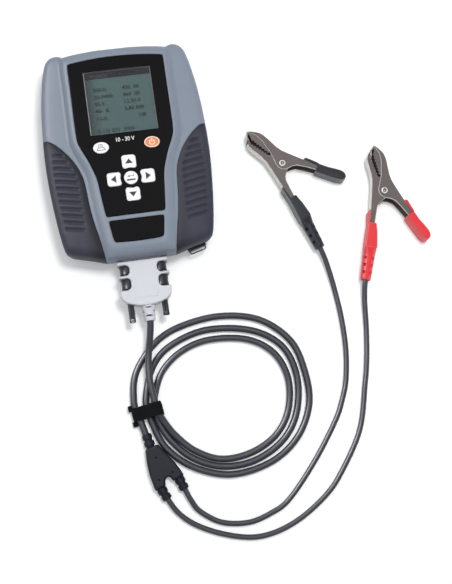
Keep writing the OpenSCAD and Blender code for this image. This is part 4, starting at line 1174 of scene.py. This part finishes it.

# %% [markdown]
# ## Splitter
# The splitter is one moulding where the main cord parts into two leads. Its body is a slab with a wide
# rounding over a Y-shaped plan, and each of its three arms ends in a turned relief with two collars. Three
# dark discs level with its top are painted shade in the dimples that the mould's pins leave.

# %% Splitter
y_loop = ccw(flowing([
    (-20.6, -291.2), (-21.3, -297), (-21.4, -304), (-20.9, -311), (-20, -318), (-18.5, -324.6),
    (-16.4, -331.6), (-11.6, -330.2), (-6.8, -328.6), (-6.2, -324.4), (-5.2, -321.8), (-3.2, -320.6),
    (-1, -321.2), (1.8, -324.6), (6.8, -323.2), (11.6, -321.3), (10.6, -317.4), (8.4, -313), (5.2, -307.4),
    (1, -301.4), (-4, -294.8), (-8.9, -288.6), (-15, -290)], 4, closed=True))
RELIEF = [(3.2, -1), (3.9, -1), (3.9, 0.5), (4.7, 0.6), (5.1, 1.0), (5.1, 4.9), (4.8, 5.3), (4.0, 5.5),
          (4.0, 7.3), (4.5, 7.4), (4.85, 7.8), (4.75, 11.5), (4.5, 11.9), (3.9, 12.05), (3.85, 12.5)]


def relief(x, y, turn, tip_r):
    """A relief with two collars, from x, y on, which opens to tip_r round its cord."""
    return placed(turned(RELIEF + [(tip_r, 12.6), (tip_r, 11.8)], 40, axis="-y"), x, y, turn, 5.1)


reliefs = [relief(-15.9, -289.4, 191.7, 3.36), relief(-11.3, -330, 25.6, 2.66),
           relief(6.9, -322.6, 20.6, 2.66)]
shape = joined(slab(y_loop, 0.3, 10.1, 2.4, 1.2, steps=6), *reliefs)
splitter = skin_of("splitter", shape, "moulding", moulding, crease=40)
# Near-black discs as painted shade in the moulding's pin dimples.
dimple_shade = finish("dimple_shade", (12, 12, 14), 0.8, 0.1, shine=0.1)
for k, spot in enumerate(((-12, -300.6), (1.7, -316.4), (-12.1, -322))):
    pin = new_piece(f"splitter_pin_{k + 1}", *slab(round_loop(1.0, n=20, at=spot), 9.6, 10.14, 0.05))
    dress(pin, dimple_shade)
print("splitter faces:", len(splitter.data.polygons))

# %% [markdown]
# ## Clamps
# Each clamp is two pressed steel channels on one rivet, with a coil spring round it. The plates are cut
# from sheet; their edges get a painted highlight over the faces' colour, and the web of each channel catches
# the light.
# Both clamps are the same set of pieces, drawn with the rivet at the origin and then turned into place.

# %% Outlines of the jaws
lever_outer = [(0, 48.9), (3.4, 46.2), (6, 42.6), (8.2, 39), (9.3, 35), (9.6, 30), (9.3, 22.5), (9.2, 15),
               (10, 9), (12.4, 1.5), (17.8, -13.5), (23.4, -27.5), (28.2, -38.5), (31.6, -46)]
lever_inner = [(27, -46), (22.4, -37.6), (18, -29.2), (13.4, -20.4), (8.7, -12.4), (4.4, -9.6), (0, -8),
               (-3, -6.3), (-5, -3.8), (-6, 0), (-5.6, 3), (-4.2, 6), (-1.6, 12), (0.4, 17), (1.8, 23),
               (3.4, 29), (4, 34), (3.8, 39.5)]
cord_outer = [(-1.2, 47.6), (-3.2, 45.4), (-5.5, 42.5), (-8.2, 39.6), (-9.6, 37), (-9.9, 33), (-9.5, 26),
              (-9.2, 20), (-9.6, 14), (-10.9, 8.5), (-14.2, -3), (-17.8, -15.5), (-22.2, -30.6),
              (-26.6, -41.5), (-30.4, -50)]
cord_inner = [(-21.8, -50), (-19.6, -42), (-17.3, -31.4), (-14.2, -23.2), (-10.5, -14.4), (-8, -11.8),
              (-5, -10), (-1, -8), (3, -5.6), (5, -2), (5.2, 2), (3.6, 6), (1, 10.4), (-1, 14.4)]


def teeth(p, q, count, depth):
    """Points of count teeth in a row from p towards q."""
    p, q = np.array(p, float), np.array(q, float)
    across = np.array((-(q - p)[1], (q - p)[0])) / np.linalg.norm(q - p) * depth
    line = []
    for i in range(count):
        line += [tuple(p + (q - p) * (i / count)), tuple(p + (q - p) * ((i + 0.5) / count) + across)]
    return line


def web_plan(outer, thick, top):
    """A strip as wide as the sheet is thick, along the outer edge. Above top it is shorter as well."""
    return outer + [(x + thick, y - (1.2 if y > top else 0)) for x, y in reversed(outer)]


lever_bite = [(0, 48.9), (3.4, 46), (5.4, 39.5), (5.4, 33), (3.2, 23), (1.6, 16.4)]
lever_bite += teeth((-0.4, 17), (-1.6, 40.6), 7, 1.7) + [(-1.6, 40.6), (0.2, 45.4)]
cord_plate = cord_outer + cord_inner + teeth((-3.5, 17.6), (-7.0, 39.6), 7, -1.6)
cord_plate += [(-5.2, 42.5), (-3, 45.4)]
lever_web = web_plan(lever_outer, -1.1, 48)
cord_web = web_plan(cord_outer, 1.1, 47)
lever_sleeve = [(17.6, -13.4), (19, -13.1), (20.4, -13.2), (24.6, -26.3), (29, -36.8), (33, -44),
                (35.4, -49), (36.2, -53), (35, -56.4), (32, -58.2), (28.8, -57), (25.8, -52.6),
                (21.6, -43), (16.4, -30.6), (17.8, -29.4), (22.6, -27.9), (20.2, -20.8)]
cord_sleeve = [(-18.3, -17), (-19.4, -17), (-20.6, -17.6), (-23.9, -30.3), (-28.6, -42), (-33, -53.6),
               (-21.5, -57.6), (-20.3, -54), (-17.4, -42), (-15.9, -32), (-22, -30.4), (-20, -23)]


def softened(loop, cut=0.7):
    """The outline with each corner cut twice, which rounds it without moving its sides."""
    loop = np.array(loop, float)
    for share in (cut, cut / 2):
        moved = []
        for step in (1, -1):
            run = np.roll(loop, step, 0) - loop
            part = np.minimum(share / np.maximum(np.linalg.norm(run, axis=1), 1e-6), 0.4)
            moved.append(loop + run * part[:, None])
        loop = np.stack(moved, 1).reshape(-1, 2)
    return loop


print("points in the cord jaw's plan:", len(cord_plate))

# %% [markdown]
# ## Tones on a clamp
# One finish can't tell a cut edge from the face of a sheet, so some faces of a piece get another finish.
# A short rule chooses it from where the face lies and which way it looks: cut edges get a painted
# highlight, the gaps between the teeth and the pits of the cord sleeves get painted shade, and the rounded
# rims and walls of the dipped vinyl sleeves get a lighter vinyl as a painted highlight.

# %% One clamp piece
# Painted shade for the pits of the cord sleeves, darker than their vinyl.
pit_shade_black = finish("pit_shade_black", (16, 16, 19), 0.8, 0.1)
pit_shade_red = finish("pit_shade_red", (120, 22, 28), 0.8, 0.1)
# Lighter copies of the sleeve vinyls, a painted highlight on the sleeves' rims and walls.
black_sleeve_highlight = finish("black_sleeve_highlight", (52, 53, 61), 0.3, 0.08, 70, grain=0.2)
red_sleeve_highlight = finish("red_sleeve_highlight", (240, 84, 90), 0.42, 0.05, 70, grain=0.2, shine=0.35)


def clamp_piece(name, spot, shape, body, slot, finishes, choose, crease=35):
    """One piece of a clamp, turned into its place. choose(face) says which finish a face gets."""
    made = skin_of(name, placed(shape, *spot), slot, *finishes, body=body, crease=crease)
    for face in made.data.polygons:
        face.material_index = choose(face)
    return made


def in_clamp(face, spot):
    """The middle of a face in the clamp's own plan."""
    x, y, turn = spot
    return spun([(face.center.x / MM - x, face.center.y / MM - y)], -turn)[0]


def is_slope(face):
    """1 on the rounded rim and walls of a dipped sleeve, which get a lighter vinyl as a painted highlight.
    """
    return 1 if -0.3 < face.normal.z < 0.93 else 0


def edge_tone(face, spot):
    """1 on cut edges, which get a painted highlight, and 2 between the teeth, painted shade where no light
    gets in.
    """
    if abs(face.normal.z) > 0.8:
        return 0
    x, y = in_clamp(face, spot)
    return 2 if abs(x + 2.1 + 0.12 * (y - 17)) < 2.9 and 15 < y < 43 else 1


print("finishes:", len(bpy.data.materials))


# %% The relief of the cord sleeve
PIT_ROWS, PIT_HALF, TUBE_SIDES = (12, 19.6, 27.2), 1.6, 80
TUBE_X, TUBE_Y, TUBE_TURN, TUBE_Z = -26.7, -54, -21.2, 8.5
tube_axis = Vector((-0.3616, -0.9323, 0))


def sleeve_tube():
    """The cord sleeve's relief: from the block's section to a round, with three rows of four pits."""
    heights = [-3, -0.4, 0, 0.8, 2.5, 4.5, 6.5, 8.5]
    heights += [row + step for row in PIT_ROWS for step in (-2.6, -1.62, -1.6, -0.8, 0, 0.8, 1.6, 1.62)]
    heights += [30.5, 33, 33.9, 34.3, 34.4]
    rings = []
    for h in heights:
        t = min(1, max(0, h / 8.5))
        t = t * t * (3 - 2 * t)
        wide, tall, power = 5.95 + 0.15 * t, 8.1 - 2.0 * t, 7 * (1 - t) + 2 * t
        if h > 8.5:
            wide = tall = 6.1 - 0.9 * (h - 8.5) / 25.9
        if h > 33.5:
            wide = tall = wide - 0.5 * (h - 33.5) / 0.9
        in_row = any(abs(h - row) <= PIT_HALF + 0.005 for row in PIT_ROWS)
        ring = []
        for a in [2 * math.pi * k / TUBE_SIDES for k in range(TUBE_SIDES)]:
            c, s = math.cos(a), math.sin(a)
            r = (abs(c / wide) ** power + abs(s / tall) ** power) ** (-1 / power)
            if in_row and abs((math.degrees(a) % 90) - 45) < 15.5:
                r = 3.7
            ring.append((r * c, -h, r * s))
        rings.append(ring)
    return placed(stacked(rings), TUBE_X, TUBE_Y, TUBE_TURN, TUBE_Z)


def sleeve_tone(face, spot):
    """1 in the pits, which get painted shade, and 2 on slopes, which get a painted highlight."""
    x, y = in_clamp(face, spot) - (TUBE_X, TUBE_Y)
    along = x * tube_axis.x + y * tube_axis.y
    out = math.hypot(x - along * tube_axis.x, y - along * tube_axis.y)
    in_pit = 9 < along < 30 and math.hypot(out, face.center.z / MM - TUBE_Z) < 4.4
    return 1 if in_pit else 2 * is_slope(face)


tube = sleeve_tube()
print("relief of the cord sleeve:", len(tube[1]), "faces")


# %% Both clamps
rivet_profile = [(0, 0.4), (2.4, 0.4), (3.2, 1.25), (1.6, 1.3), (1.6, 15.7), (3.2, 15.75), (3.25, 15.95),
                 (2.95, 16.3), (2.5, 16.6), (2.0, 16.6), (1.6, 16.35), (1.3, 15.95), (0.5, 15.9), (0, 16.1)]
lever_steel = joined(slab(lever_outer + lever_inner, 14.8, 15.7, 0.38, steps=1),
                     slab(lever_outer + lever_inner, 1.3, 2.2, 0, 0.22, steps=1),
                     slab(lever_bite, 13.9, 14.8, 0), slab(lever_bite, 2.2, 3.1, 0),
                     slab(lever_web, 1.35, 15.66, 0.3, 0.3, steps=1))
cord_steel = joined(slab(cord_plate, 13.8, 14.7, 0.3, steps=1), slab(cord_plate, 2.3, 3.2, 0, 0.22, steps=1),
                    slab(cord_web, 2.35, 14.66, 0.3, 0.3, steps=1))
lever_dip = slab(softened(lever_sleeve), 0.1, 16.9, 2.4, 1.3, steps=3)
cord_dip = joined(slab(softened(cord_sleeve, 0.5), 0.1, 16.7, 1.0, 1.0, steps=2), tube)
# A clamp's sheet steel, with a painted highlight on its cut edges and painted shade between the teeth.
sheet = (steel, edge_highlight, steel_shade)
for tone, spot, vinyl, sleeve_highlight, pit_shade in (("black", (154.3, -26.5, 39.9), black_vinyl, black_sleeve_highlight, pit_shade_black),
                                    ("red", (253.6, -68.4, 3.2), red_vinyl, red_sleeve_highlight, pit_shade_red)):
    lever, dip_slot = tone + "_lever", tone + "_vinyl"
    clamp_piece(tone + "_lever_jaw", spot, lever_steel, lever, "steel", sheet,
                lambda face: edge_tone(face, spot), crease=30)
    clamp_piece(tone + "_cord_jaw", spot, cord_steel, "tester", "steel", sheet,
                lambda face: edge_tone(face, spot), crease=30)
    # The rivet's rim and middle get the painted highlight, and its recess the plainer steel as painted
    # shade.
    clamp_piece(tone + "_rivet", spot, turned(rivet_profile, 40), "tester", "bright_metal",
                (edge_highlight, steel),
                lambda face: 1 if abs(math.dist(face.center.xy / MM, spot[:2]) - 1.25) < 0.6 else 0)
    clamp_piece(tone + "_lever_sleeve", spot, lever_dip, lever, dip_slot, (vinyl, sleeve_highlight), is_slope, crease=28)
    clamp_piece(tone + "_cord_sleeve", spot, cord_dip, "tester", dip_slot,
                                     (vinyl, pit_shade, sleeve_highlight), lambda face: sleeve_tone(face, spot), crease=28)
    print(tone, "clamp at", spot)

# %% [markdown]
# ## Table and light
# The table is white and has to stay white behind the object while it keeps the soft shadow, so its
# material adds a little glow that only the camera and reflections see. The key lamp at the upper right
# gives the shadow its direction and leaves no bright spot, since reflections don't see it. A large lamp
# overhead fills in, and a third, at the upper left, is seen only in reflections and edges the dark parts
# with light. A pale world fills the rest at an even level.

# %% Table
def make_table():
    """A white floor that glows a little for the camera and in reflections."""
    made, tree = empty_material("table")
    rays = tree.nodes.new("ShaderNodeLightPath").outputs
    seen = reckoned(tree, "MAXIMUM", rays["Is Camera Ray"], rays["Is Glossy Ray"])
    paint = add_node(tree, "BsdfDiffuse", {"Color": (0.86, 0.865, 0.86, 1)})
    glow = add_node(tree, "Emission", {
        "Color": (1, 1, 1, 1), "Strength": reckoned(tree, "MULTIPLY", seen, 0.22)})
    both = add_node(tree, "AddShader", {0: paint.outputs[0], 1: glow.outputs[0]})
    add_node(tree, "OutputMaterial", {"Surface": both.outputs[0]})
    mesh = bpy.data.meshes.new("table")
    mesh.from_pydata([(-4, -4, 0), (4, -4, 0), (4, 4, 0), (-4, 4, 0)], [], [(0, 1, 2, 3)])
    floor = linked("table", mesh)
    mesh.materials.append(made)
    return floor


table = make_table()
print("the table's corners:", [tuple(v.co) for v in table.data.vertices])


# %% Lamps and world
aim = Vector((0.08, -0.14, 0))


def lamp(name, place, size, power):
    """A round lamp that looks at the middle of the set."""
    data = bpy.data.lights.new(name, "AREA")
    data.shape = "DISK"
    data.size = size
    data.energy = power
    made = linked(name, data)
    made.location = place
    made.rotation_euler = (aim - Vector(place)).to_track_quat("-Z", "Y").to_euler()
    return made


key_lamp = lamp("key_lamp", (0.36, 0.10, 1.6), 0.4, 14)
key_lamp.visible_glossy = False
fill_lamp = lamp("fill_lamp", (0.0, 0.15, 2.2), 2.2, 12)
shine_lamp = lamp("shine_lamp", (-0.85, 0.65, 1.1), 0.6, 26)
shine_lamp.visible_diffuse = False
world = bpy.data.worlds.new("studio")
bpy.context.scene.world = world
world.use_nodes = True
sky = world.node_tree.nodes["Background"].inputs
sky["Color"].default_value = (0.93, 0.95, 1, 1)
sky["Strength"].default_value = 0.36
bpy.context.scene.view_settings.view_transform = "Standard"
print("lamps, in watts:", [one.data.energy for one in (key_lamp, fill_lamp, shine_lamp)])
